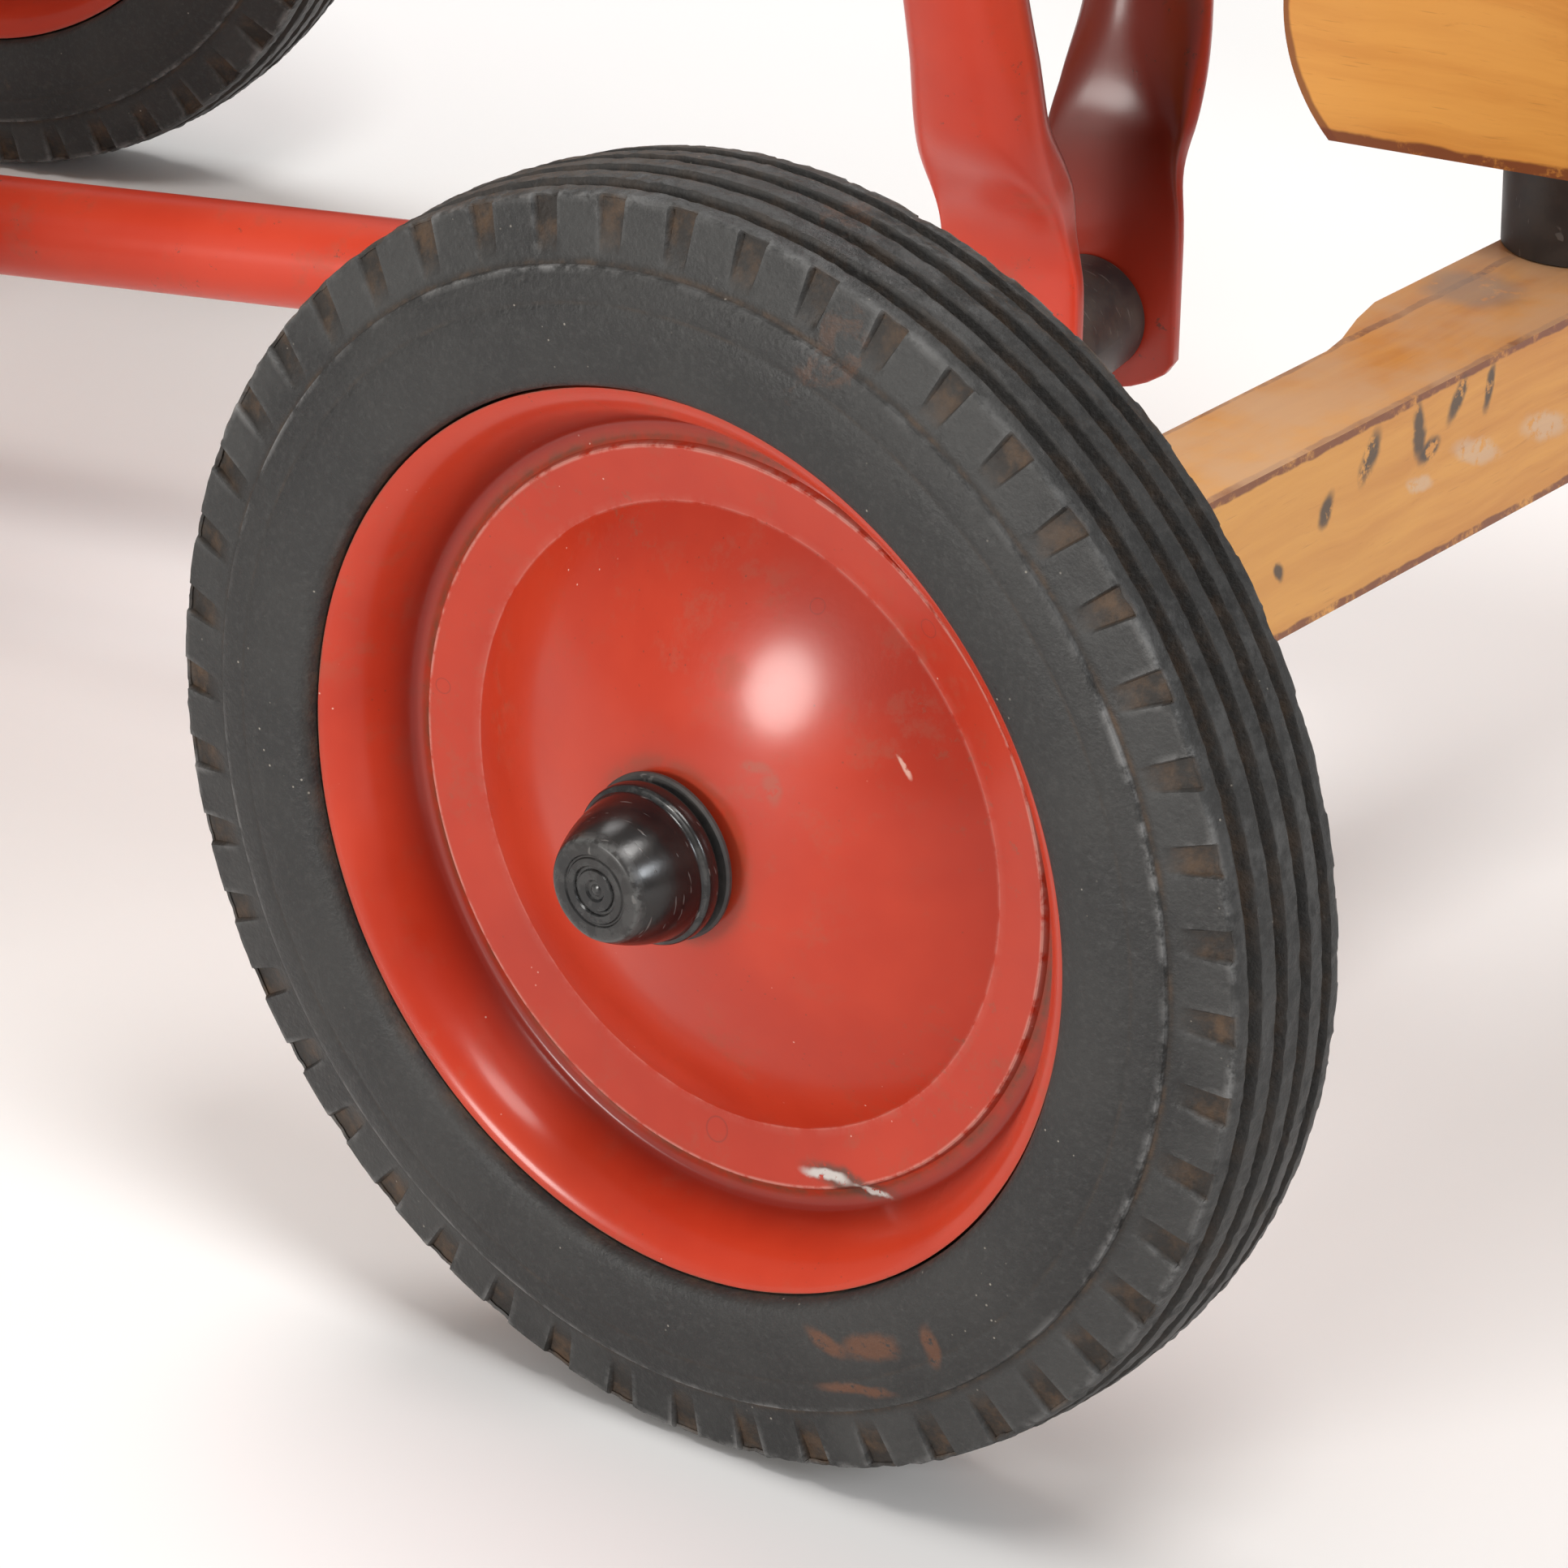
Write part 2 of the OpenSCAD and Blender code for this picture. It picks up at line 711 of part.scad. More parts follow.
// A rounded board, standing in Y and Z
module backrest() {
    low = back_z - seat_z - seat_t;
    corner = 24;
    color(wood_colour) on_back() difference() {
        translate([0, 0, low]) rotate([90, 0, 90]) linear_extrude(back_size[0]) union() {
            for (side = [-1, 1], z = [corner, back_size[2] - corner])
                translate([side * (back_size[1] / 2 - corner), z]) circle(r = corner);
            translate([corner - back_size[1] / 2, 0])
                square([back_size[1] - 2 * corner, back_size[2]]);
            translate([-back_size[1] / 2, corner])
                square([back_size[1], back_size[2] - 2 * corner]);
        }
        for (side = [-1, 1], z = back_screws)
            translate([-1, side * stay_y, low + z]) rotate([0, 90, 0])
                cylinder(r = screw_r, h = 10);
    }
}

// Flat steel stays: one leg under the seat, the other up behind the backrest
stay_leg = 72;
stay_foot = 5.5;            // the corner stands this far behind the seat

module stay_outline() {
    translate([seat_x - stay_foot, seat_z - stay[0]]) square([stay_leg, stay[0]]);
    translate([seat_x - back_shift, seat_z + seat_t]) rotate(back_lean)
        translate([-stay[0] - gap, -seat_t - 3]) square([stay[0], stay_h + seat_t]);
}

module backrest_stays() {
    color(red_paint) for (side = [-1, 1]) difference() {
        board(side * stay_y, stay[1]) stay_outline();
        on_back() for (z = back_screws)
            translate([-stay[0] - 2, side * stay_y, back_z - seat_z - seat_t + z])
                rotate([0, 90, 0]) cylinder(r = screw_r, h = 10);
        for (x = stay_screws)
            translate([seat_x + x, side * stay_y, seat_z - stay[0] - 1])
                cylinder(r = screw_r, h = stay[0] + 2);
    }
}

module wood_screw(l) {
    cylinder(r = screw_r, h = l);
    translate([0, 0, -screw_head_h])
        cylinder(r1 = screw_head_r - 1.5, r2 = screw_head_r, h = screw_head_h);
}

module wood_screws() {
    color(steel_colour) {
        for (p = seat_screws)
            translate([seat_x + p[0], p[1], seat_z + seat_t - screw_sink]) rotate([180, 0, 0])
                wood_screw(seat_t - screw_sink - 0.5);
        on_back() for (side = [-1, 1], z = back_screws)
            translate([-stay[0] - gap, side * stay_y, back_z - seat_z - seat_t + z])
                rotate([0, 90, 0]) wood_screw(12);
        for (side = [-1, 1], x = stay_screws)
            translate([seat_x + x, side * stay_y, seat_z - stay[0]]) wood_screw(stay[0] - 0.5);
    }
}

tyre(1, -1);  // tyre_front_right
tyre(1, 1);  // tyre_front_left
tyre(0, -1);  // tyre_rear_right
tyre(0, 1);  // tyre_rear_left
disc(1, -1, outer_depth, "outer");  // disc_outer_front_right
disc(1, 1, outer_depth, "outer");  // disc_outer_front_left
disc(0, -1, outer_depth, "outer");  // disc_outer_rear_right
disc(0, 1, outer_depth, "outer");  // disc_outer_rear_left
disc(1, -1, inner_depth, "inner");  // disc_inner_front_right
disc(1, 1, inner_depth, "inner");  // disc_inner_front_left
disc(0, -1, inner_depth, "inner");  // disc_inner_rear_right
disc(0, 1, inner_depth, "inner");  // disc_inner_rear_left
hub_bush(1, -1);  // hub_bush_front_right
hub_bush(1, 1);  // hub_bush_front_left
hub_bush(0, -1);  // hub_bush_rear_right
hub_bush(0, 1);  // hub_bush_rear_left
cap(1, -1);  // cap_front_right
cap(1, 1);  // cap_front_left
cap(0, -1);  // cap_rear_right
cap(0, 1);  // cap_rear_left
union() { washer(1, -1); washer(1, 1); }  // front_washers
union() { washer(0, -1); washer(0, 1); }  // rear_washers
steering_beam();
stub_axle(-1);  // stub_axle_right
stub_axle(1);  // stub_axle_left
front_collars();
king_pin_bolt();
king_pin_washers();
king_pin_nut();
king_pin_spacer();
pivot_block();
rail(-1);  // rail_right
rail(1);  // rail_left
bearing_board(-1);  // bearing_board_right
bearing_board(1);  // bearing_board_left
rear_block();
frame_bolts();
axle_bearing(-1);  // axle_bearing_right
axle_bearing(1);  // axle_bearing_left
crank_axle();
rear_collars();
rod_tube();
rod_front_eye();
rod_front_bush();
rod_rear_eye();
rod_rear_bush();
lever_arm(-1);  // lever_arm_right
lever_arm(1);  // lever_arm_left
fork_bolt();
fork_nut();
handlebar();
grip(-1);  // grip_right
grip(1);  // grip_left
fulcrum_pin();
fulcrum_nut();
fulcrum_spacers();
seat_board();
backrest();
backrest_stays();
wood_screws();
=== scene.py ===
import json
import math

import bmesh
import bpy
import numpy as np
from mathutils import Matrix, Vector


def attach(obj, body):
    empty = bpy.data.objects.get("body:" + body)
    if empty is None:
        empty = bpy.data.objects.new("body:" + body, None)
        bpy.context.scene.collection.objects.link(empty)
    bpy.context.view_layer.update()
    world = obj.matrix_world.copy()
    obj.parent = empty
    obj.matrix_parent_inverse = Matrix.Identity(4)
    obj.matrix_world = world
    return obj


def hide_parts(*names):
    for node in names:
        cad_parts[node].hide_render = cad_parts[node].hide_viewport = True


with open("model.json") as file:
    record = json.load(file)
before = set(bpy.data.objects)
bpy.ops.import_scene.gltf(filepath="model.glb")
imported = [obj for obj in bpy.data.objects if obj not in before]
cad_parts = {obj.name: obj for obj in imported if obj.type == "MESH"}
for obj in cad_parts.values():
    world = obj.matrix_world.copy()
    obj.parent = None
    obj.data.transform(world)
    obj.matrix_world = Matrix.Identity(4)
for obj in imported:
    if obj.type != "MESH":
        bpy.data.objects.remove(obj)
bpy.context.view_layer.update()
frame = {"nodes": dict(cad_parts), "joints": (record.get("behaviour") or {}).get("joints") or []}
MM = 0.001
joints = {j["name"]: j for j in frame["joints"]}


# ---------- meshes ----------

def make_mesh(name, verts, faces, material, body, replaces=(), sharp=35, weld=True):
    mesh = bpy.data.meshes.new(name)
    mesh.from_pydata([tuple(v) for v in verts], [], [tuple(f) for f in faces])
    mesh.update()
    obj = bpy.data.objects.new(name, mesh)
    bpy.context.scene.collection.objects.link(obj)
    finish_mesh(obj, material, sharp, weld)
    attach(obj, body)
    if replaces:
        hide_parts(*replaces)
    return obj


def finish_mesh(obj, material, sharp, weld):
    """Smooth shading with edges sharper than sharp degrees kept; weld joins the poles of a turned shape."""
    mesh = obj.data
    if weld:
        bm = bmesh.new()
        bm.from_mesh(mesh)
        bmesh.ops.remove_doubles(bm, verts=bm.verts, dist=1e-6)
        bmesh.ops.recalc_face_normals(bm, faces=bm.faces)
        bm.to_mesh(mesh)
        bm.free()
    mesh.polygons.foreach_set("use_smooth", [True] * len(mesh.polygons))
    mesh.set_sharp_from_angle(angle=math.radians(sharp))
    mesh.materials.clear()
    mesh.materials.append(material)


def set_attribute(obj, name, values):
    a = obj.data.attributes.new(name, "FLOAT", "POINT")
    a.data.foreach_set("value", np.asarray(values, np.float32).ravel())


def grid_faces(n, m, close_n, close_m):
    """Quads of an n by m grid of points, closed round either way."""
    faces = []
    for i in range(n if close_n else n - 1):
        after = (i + 1) % n
        for j in range(m if close_m else m - 1):
            right = (j + 1) % m
            faces.append((i * m + j, after * m + j, after * m + right, i * m + right))
    return faces


def turned(profile, steps, place):
    """Points of a profile of (radius, height) turned about +Z, then placed."""
    p = np.array(profile, float)
    a = np.arange(steps) * 2 * math.pi / steps
    pts = np.zeros((steps, len(p), 3))
    pts[:, :, 0] = np.cos(a)[:, None] * p[None, :, 0]
    pts[:, :, 1] = np.sin(a)[:, None] * p[None, :, 0]
    pts[:, :, 2] = p[None, :, 1]
    return placed(pts.reshape(-1, 3) * MM, place)


def placed(pts, place):
    m = np.array(place)
    return pts @ m[:3, :3].T + m[:3, 3]


def lathe(name, profile, steps, place, material, body, replaces=(), sharp=35, closed=False):
    pts = turned(profile, steps, place)
    faces = grid_faces(steps, len(profile), True, closed)
    return make_mesh(name, pts, faces, material, body, replaces, sharp)


def smooth_line(points, n):
    """A Catmull-Rom line through the points, with n pieces between each two."""
    p = [np.array(q, float) for q in points]
    p = [2 * p[0] - p[1]] + p + [2 * p[-1] - p[-2]]
    out = []
    for i in range(1, len(p) - 2):
        for k in range(n):
            t = k / n
            out.append(0.5 * (2 * p[i] + (p[i + 1] - p[i - 1]) * t
                       + (2 * p[i - 1] - 5 * p[i] + 4 * p[i + 1] - p[i + 2]) * t * t
                       + (3 * p[i] - p[i - 1] - 3 * p[i + 1] + p[i + 2]) * t ** 3))
    out.append(p[-2])
    return [tuple(q) for q in out]


def waves(angle, seed, low, high, count=9):
    """A periodic, uneven ripple of about -1 to 1 round a full turn."""
    rng = np.random.default_rng(seed)
    total = np.zeros_like(angle)
    for _ in range(count):
        total += np.sin(int(rng.integers(low, high)) * angle + rng.uniform(0, 2 * math.pi))
    return total / math.sqrt(count)


# ---------- node materials ----------

class Nodes:
    """Builds a material's node tree with short calls."""

    def __init__(self, name, **sockets):
        self.mat = bpy.data.materials.new(name)
        self.mat.use_nodes = True
        self.tree = self.mat.node_tree
        self.shader = self.tree.nodes["Principled BSDF"]
        for key, value in sockets.items():
            self.shader.inputs[key.replace("_", " ")].default_value = value
        self.coords = self.tree.nodes.new("ShaderNodeTexCoord").outputs["Object"]

    def put(self, socket, value):
        if hasattr(value, "node"):
            self.tree.links.new(value, socket)
        elif isinstance(value, (tuple, list)) and socket.type == "RGBA" and len(value) == 3:
            socket.default_value = (*value, 1)
        else:
            socket.default_value = value

    def to(self, name, value):
        self.put(self.shader.inputs[name], value)

    def noise(self, scale, detail=4, rough=0.55, where=None, distort=0.0):
        n = self.tree.nodes.new("ShaderNodeTexNoise")
        n.inputs["Scale"].default_value = scale
        n.inputs["Detail"].default_value = detail
        n.inputs["Roughness"].default_value = rough
        n.inputs["Distortion"].default_value = distort
        self.put(n.inputs["Vector"], where or self.coords)
        return n.outputs["Fac"]

    def cells(self, scale, where=None):
        n = self.tree.nodes.new("ShaderNodeTexVoronoi")
        n.inputs["Scale"].default_value = scale
        self.put(n.inputs["Vector"], where or self.coords)
        return n.outputs["Distance"]

    def ramp(self, value, low, high, a=0.0, b=1.0):
        """a below low, b above high, smooth between."""
        n = self.tree.nodes.new("ShaderNodeMapRange")
        n.interpolation_type = "SMOOTHSTEP"
        for k, v in (("From Min", low), ("From Max", high), ("To Min", a), ("To Max", b)):
            n.inputs[k].default_value = v
        self.put(n.inputs["Value"], value)
        return n.outputs["Result"]

    def math(self, op, a, b=0.0):
        n = self.tree.nodes.new("ShaderNodeMath")
        n.operation = op
        self.put(n.inputs[0], a)
        self.put(n.inputs[1], b)
        return n.outputs[0]

    def mul(self, *values):
        out = values[0]
        for v in values[1:]:
            out = self.math("MULTIPLY", out, v)
        return out

    def add(self, *values):
        out = values[0]
        for v in values[1:]:
            out = self.math("ADD", out, v)
        return out

    def most(self, *values):
        out = values[0]
        for v in values[1:]:
            out = self.math("MAXIMUM", out, v)
        return out

    def mix(self, fac, a, b):
        """The colour a where fac is 0, b where it is 1."""
        n = self.tree.nodes.new("ShaderNodeMix")
        n.data_type = "RGBA"
        n.clamp_factor = True
        self.put(n.inputs[0], fac)
        self.put(n.inputs[6], a)
        self.put(n.inputs[7], b)
        return n.outputs[2]

    def attribute(self, name):
        n = self.tree.nodes.new("ShaderNodeAttribute")
        n.attribute_name = name
        return n.outputs["Fac"]

    def moved(self, origin=(0, 0, 0), turn=(0, 0, 0), scale=(1, 1, 1), where=None):
        """Coordinates taken from an origin, then turned and scaled."""
        shift = self.tree.nodes.new("ShaderNodeVectorMath")
        shift.operation = "SUBTRACT"
        self.put(shift.inputs[0], where or self.coords)
        shift.inputs[1].default_value = origin
        n = self.tree.nodes.new("ShaderNodeMapping")
        n.inputs["Rotation"].default_value = turn
        n.inputs["Scale"].default_value = scale
        self.tree.links.new(shift.outputs[0], n.inputs["Vector"])
        return n.outputs["Vector"]

    def xyz(self, where=None):
        n = self.tree.nodes.new("ShaderNodeSeparateXYZ")
        self.put(n.inputs[0], where or self.coords)
        return n.outputs[0], n.outputs[1], n.outputs[2]

    def wobble(self, where, amount, scale):
        """The coordinates pushed about a little by noise."""
        n = self.tree.nodes.new("ShaderNodeTexNoise")
        n.inputs["Scale"].default_value = scale
        n.inputs["Detail"].default_value = 3
        self.put(n.inputs["Vector"], where)
        v = self.tree.nodes.new("ShaderNodeVectorMath")
        v.operation = "MULTIPLY_ADD"
        self.tree.links.new(n.outputs["Color"], v.inputs[0])
        v.inputs[1].default_value = (amount,) * 3
        self.put(v.inputs[2], where)
        s = self.tree.nodes.new("ShaderNodeVectorMath")
        s.operation = "SUBTRACT"
        self.tree.links.new(v.outputs[0], s.inputs[0])
        s.inputs[1].default_value = (amount / 2,) * 3
        return s.outputs[0]

    def spot(self, centre, radius, soft=0.5, where=None):
        """1 inside a ball round centre, fading out at its radius."""
        n = self.tree.nodes.new("ShaderNodeVectorMath")
        n.operation = "DISTANCE"
        self.put(n.inputs[0], where or self.coords)
        n.inputs[1].default_value = centre
        return self.ramp(n.outputs["Value"], radius * (1 - soft), radius, 1.0, 0.0)

    def bump(self, *layers):
        """layers are (height, strength, distance in metres)."""
        normal = None
        for height, strength, distance in layers:
            n = self.tree.nodes.new("ShaderNodeBump")
            n.inputs["Strength"].default_value = strength
            n.inputs["Distance"].default_value = distance
            self.put(n.inputs["Height"], height)
            if normal is not None:
                self.tree.links.new(normal, n.inputs["Normal"])
            normal = n.outputs["Normal"]
        self.tree.links.new(normal, self.shader.inputs["Normal"])


def marks(m, p, base, colour, places, strength, grain=260):
    """Scuffs at listed places: each is (x, y, z, half length along x, y, z, turn)."""
    for x, y, z, sx, sy, sz, turn in places:
        q = m.moved((x, y, z), turn, where=m.wobble(p, 0.003, 180))
        q = m.moved(scale=(1 / sx, 1 / sy, 1 / sz), where=q)
        n = m.tree.nodes.new("ShaderNodeVectorMath")
        n.operation = "LENGTH"
        m.tree.links.new(q, n.inputs[0])
        inside = m.ramp(n.outputs["Value"], 0.45, 1.0, 1.0, 0.0)
        broken = m.ramp(m.noise(grain, 4, 0.7, p), 0.34, 0.46)
        base = m.mix(m.mul(inside, broken, strength), base, colour)
    return base


def rubber_material():
    m = Nodes("tyre_rubber", IOR=1.42)
    dirt_and_shade, edge, sheen_band = m.attribute("dirt_and_shade"), m.attribute("edge"), m.attribute("sheen_band")
    cloud = m.noise(38, 5, 0.6)
    fine = m.noise(900, 4, 0.7)
    base = m.mix(m.ramp(cloud, 0.35, 0.68), (0.016, 0.0155, 0.015), (0.029, 0.028, 0.0265))
    base = m.mix(m.mul(m.ramp(fine, 0.45, 0.75), 0.35), base, (0.060, 0.058, 0.055))
    # Painted sheen: the lugs on the tyre's shoulders are lightened in soft patches.
    base = m.mix(m.mul(sheen_band, m.ramp(cloud, 0.3, 0.7), 0.35), base, (0.06, 0.06, 0.058))
    brown = m.mix(m.ramp(m.noise(160, 4, 0.7), 0.40, 0.66), (0.022, 0.015, 0.010), (0.115, 0.062, 0.028))
    base = m.mix(m.mul(dirt_and_shade, m.ramp(m.noise(95, 5, 0.65), 0.25, 0.62, 0.35, 1.0)), base, brown)
    patches = m.ramp(m.noise(24, 2), 0.58, 0.72)
    rust = m.ramp(m.mul(m.noise(230, 6, 0.75, distort=0.6), patches), 0.42, 0.60)
    base = m.mix(m.mul(rust, 0.2), base, (0.20, 0.075, 0.026))
    # Lightened edges, partly rubbed wear and partly a painted highlight, strongest along the sidewall rim and
    # the lug shoulders.
    uneven = m.ramp(m.noise(22, 3), 0.38, 0.6, 0.25, 1.0)
    worn = m.mul(edge, m.ramp(m.noise(170, 5, 0.75), 0.40, 0.60), uneven)
    base = m.mix(m.mul(worn, 0.6), base, (0.27, 0.265, 0.26))
    base = marks(m, m.coords, base, (0.15, 0.055, 0.022), [
        (0.2072, -0.2553, 0.0311, 0.0070, 0.006, 0.0030, (0, 0.3, 0)),
        (0.1990, -0.2540, 0.0290, 0.0050, 0.006, 0.0020, (0, -0.2, 0)),
        (0.2040, -0.2545, 0.0225, 0.0090, 0.006, 0.0014, (0, 0.2, 0)),
        (0.2180, -0.2570, 0.0350, 0.0020, 0.006, 0.0045, (0, 0.3, 0))], 0.6, 640)
    fleck = m.ramp(m.cells(420), 0.05, 0.10, 1.0, 0.0)
    fleck = m.mul(fleck, m.ramp(m.noise(60, 2), 0.55, 0.66))
    base = m.mix(m.mul(fleck, 0.6), base, (0.42, 0.38, 0.32))
    m.to("Base Color", base)
    m.to("Roughness", m.add(m.ramp(cloud, 0.3, 0.7, 0.47, 0.62), m.mul(dirt_and_shade, 0.2)))
    pits = m.ramp(m.cells(260), 0.06, 0.20)
    m.bump((m.noise(1400, 3, 0.6), 0.35, 0.0004), (m.noise(210, 5, 0.65), 0.45, 0.0007), (pits, 0.20, 0.0004))
    return m.mat


def disc_material():
    m = Nodes("wheel_red", IOR=1.27, Coat_Weight=0.35, Coat_Roughness=0.17)
    step, crease = m.attribute("edge"), m.attribute("dirt_and_shade")
    cloud = m.noise(26, 4, 0.55)
    base = m.mix(m.ramp(cloud, 0.3, 0.7), (0.40, 0.027, 0.009), (0.48, 0.040, 0.014))
    grime = m.mul(m.ramp(m.noise(150, 6, 0.75), 0.50, 0.66), m.ramp(m.noise(30, 2), 0.42, 0.62))
    base = m.mix(m.mul(grime, 0.35), base, (0.30, 0.075, 0.04))
    base = m.mix(m.mul(crease, m.ramp(m.noise(120, 5, 0.7), 0.30, 0.62)), base, (0.16, 0.055, 0.03))
    base = m.mix(m.mul(step, m.ramp(m.noise(240, 4, 0.7), 0.36, 0.55)), base, (0.62, 0.30, 0.25))
    speck = m.mul(m.ramp(m.cells(520), 0.05, 0.11, 1.0, 0.0), m.ramp(m.noise(45, 3), 0.5, 0.62))
    base = m.mix(m.mul(speck, 0.55), base, (0.10, 0.035, 0.02))
    dust = m.mul(m.ramp(m.cells(310), 0.03, 0.06, 1.0, 0.0), m.ramp(m.noise(33, 3), 0.52, 0.62))
    base = m.mix(m.mul(dust, 0.7), base, (0.75, 0.50, 0.42))
    # Painted shade: the bottom of the channel inside the lip is darkened all round.
    base = m.mix(m.mul(m.attribute("deep"), 0.75), base, (0.15, 0.008, 0.004))
    streak = m.mul(m.ramp(m.noise(420, 5, 0.8), 0.56, 0.66), m.ramp(m.noise(24, 3), 0.45, 0.60),
                   m.attribute("face"))
    base = m.mix(m.mul(streak, 0.55), base, (0.20, 0.085, 0.05))
    base = marks(m, m.coords, base, (0.10, 0.05, 0.035), [
        (0.1945, -0.2383, 0.0473, 0.0110, 0.005, 0.0026, (0, 0, 0.157))], 0.9, 900)
    base = marks(m, m.coords, base, (0.55, 0.53, 0.50), [
        (0.1905, -0.2375, 0.0470, 0.0060, 0.005, 0.0012, (0, 0.12, 0.157)),
        (0.1990, -0.2390, 0.0472, 0.0040, 0.005, 0.0008, (0, -0.15, 0.157))], 0.95, 900)
    base = marks(m, m.coords, base, (0.30, 0.075, 0.045), [
        (0.1870, -0.2481, 0.1139, 0.0020, 0.004, 0.0038, (0, 0.2, 0)),
        (0.1840, -0.2485, 0.1165, 0.0030, 0.004, 0.0012, (0, 0.1, 0))], 0.55, 800)
    base = marks(m, m.coords, base, (0.72, 0.42, 0.34), [
        (0.2061, -0.2443, 0.1200, 0.0005, 0.003, 0.0024, (0, 0.602, 0)),
        (0.1640, -0.2440, 0.0700, 0.0009, 0.003, 0.0004, (0, -0.4, 0)),
        (0.1450, -0.2400, 0.1180, 0.0004, 0.003, 0.0011, (0, -0.3, 0))], 0.9, 900)
    # small rings left by drops
    for centre, size in (((0.1898, -0.2391, 0.1399), 0.0013), ((0.2083, -0.2407, 0.1407), 0.0016),
                         ((0.1697, -0.2324, 0.0478), 0.0022), ((0.1183, -0.2226, 0.1064), 0.0014)):
        hole = m.math("SUBTRACT", 1.0, m.spot(centre, size * 0.88, 0.12))
        line = m.mul(m.spot(centre, size, 0.10), hole)
        base = m.mix(m.mul(line, 0.55), base, (0.20, 0.03, 0.02))
    m.to("Base Color", base)
    m.to("Roughness", m.add(m.ramp(cloud, 0.3, 0.7, 0.30, 0.38), m.mul(grime, 0.15)))
    m.bump((m.noise(700, 3, 0.6), 0.05, 0.0003), (m.noise(60, 2, 0.5), 0.06, 0.001))
    return m.mat


def black_plastic(name, low=0.007, rough=0.13):
    m = Nodes(name, IOR=1.5)
    edge = m.attribute("edge")
    cloud = m.noise(120, 4, 0.6)
    base = m.mix(m.ramp(cloud, 0.3, 0.7), (low, low, low * 1.05), (low * 2.2, low * 1.9, low * 1.7))
    scratch = m.ramp(m.noise(260, 2, 0.5, m.moved(turn=(0.5, 0.2, 0.9), scale=(1, 7, 1))), 0.66, 0.70)
    base = m.mix(m.mul(scratch, 0.5), base, (0.16, 0.15, 0.14))
    worn = m.mul(edge, m.ramp(m.noise(330, 4, 0.7), 0.45, 0.58))
    base = m.mix(m.mul(worn, 0.55), base, (0.13, 0.13, 0.125))
    m.to("Base Color", base)
    m.to("Roughness", m.add(m.ramp(cloud, 0.3, 0.7, rough, rough + 0.12), m.mul(edge, 0.3)))
    m.bump((m.noise(1500, 3, 0.6), 0.06, 0.0002), (scratch, 0.1, 0.0002))
    return m.mat


def paint_material(name):
    m = Nodes(name, IOR=1.33, Coat_Weight=0.25, Coat_Roughness=0.2)
    cloud = m.noise(20, 4, 0.6)
    base = m.mix(m.ramp(cloud, 0.3, 0.7), (0.50, 0.038, 0.017), (0.58, 0.054, 0.025))
    chip = m.mul(m.ramp(m.noise(210, 5, 0.8), 0.62, 0.66), m.ramp(m.noise(36, 2), 0.5, 0.6))
    base = m.mix(m.mul(chip, 0.8), base, (0.13, 0.05, 0.035))
    grime = m.ramp(m.noise(70, 6, 0.75), 0.52, 0.68)
    base = m.mix(m.mul(grime, 0.3), base, (0.30, 0.09, 0.055))
    m.to("Base Color", base)
    m.to("Roughness", m.add(m.ramp(cloud, 0.3, 0.7, 0.30, 0.42), m.mul(grime, 0.12)))
    m.bump((m.noise(300, 3, 0.6), 0.08, 0.0004), (m.noise(45, 2), 0.08, 0.001), (chip, 0.15, 0.0002))
    # Painted shade: the inward faces of the lever arms are darkened, most towards the top, by the attribute
    # set in lever_arm.
    m.to("Base Color", m.mix(m.mul(m.attribute("dirt_and_shade"), 0.8), base, (0.035, 0.008, 0.005)))
    return m.mat


def steel_material():
    m = Nodes("zinc_steel", Metallic=1.0)
    cloud = m.noise(90, 5, 0.65)
    base = m.mix(m.ramp(cloud, 0.3, 0.7), (0.42, 0.42, 0.41), (0.60, 0.60, 0.58))
    rust = m.ramp(m.mul(m.noise(160, 6, 0.75), m.ramp(m.noise(28, 2), 0.45, 0.6)), 0.40, 0.52)
    m.to("Base Color", m.mix(rust, base, (0.22, 0.10, 0.045)))
    m.to("Metallic", m.ramp(rust, 0, 1, 1.0, 0.2))
    m.to("Roughness", m.add(m.ramp(cloud, 0.3, 0.7, 0.30, 0.45), m.mul(rust, 0.35)))
    m.bump((m.noise(900, 3), 0.1, 0.0003))
    return m.mat


def rubber_plain(name):
    m = Nodes(name, IOR=1.5)
    cloud = m.noise(150, 4, 0.6)
    m.to("Base Color", m.mix(m.ramp(cloud, 0.3, 0.7), (0.018, 0.018, 0.018), (0.05, 0.048, 0.045)))
    m.to("Roughness", m.ramp(cloud, 0.3, 0.7, 0.5, 0.7))
    m.bump((m.noise(1200, 3), 0.25, 0.0003))
    return m.mat


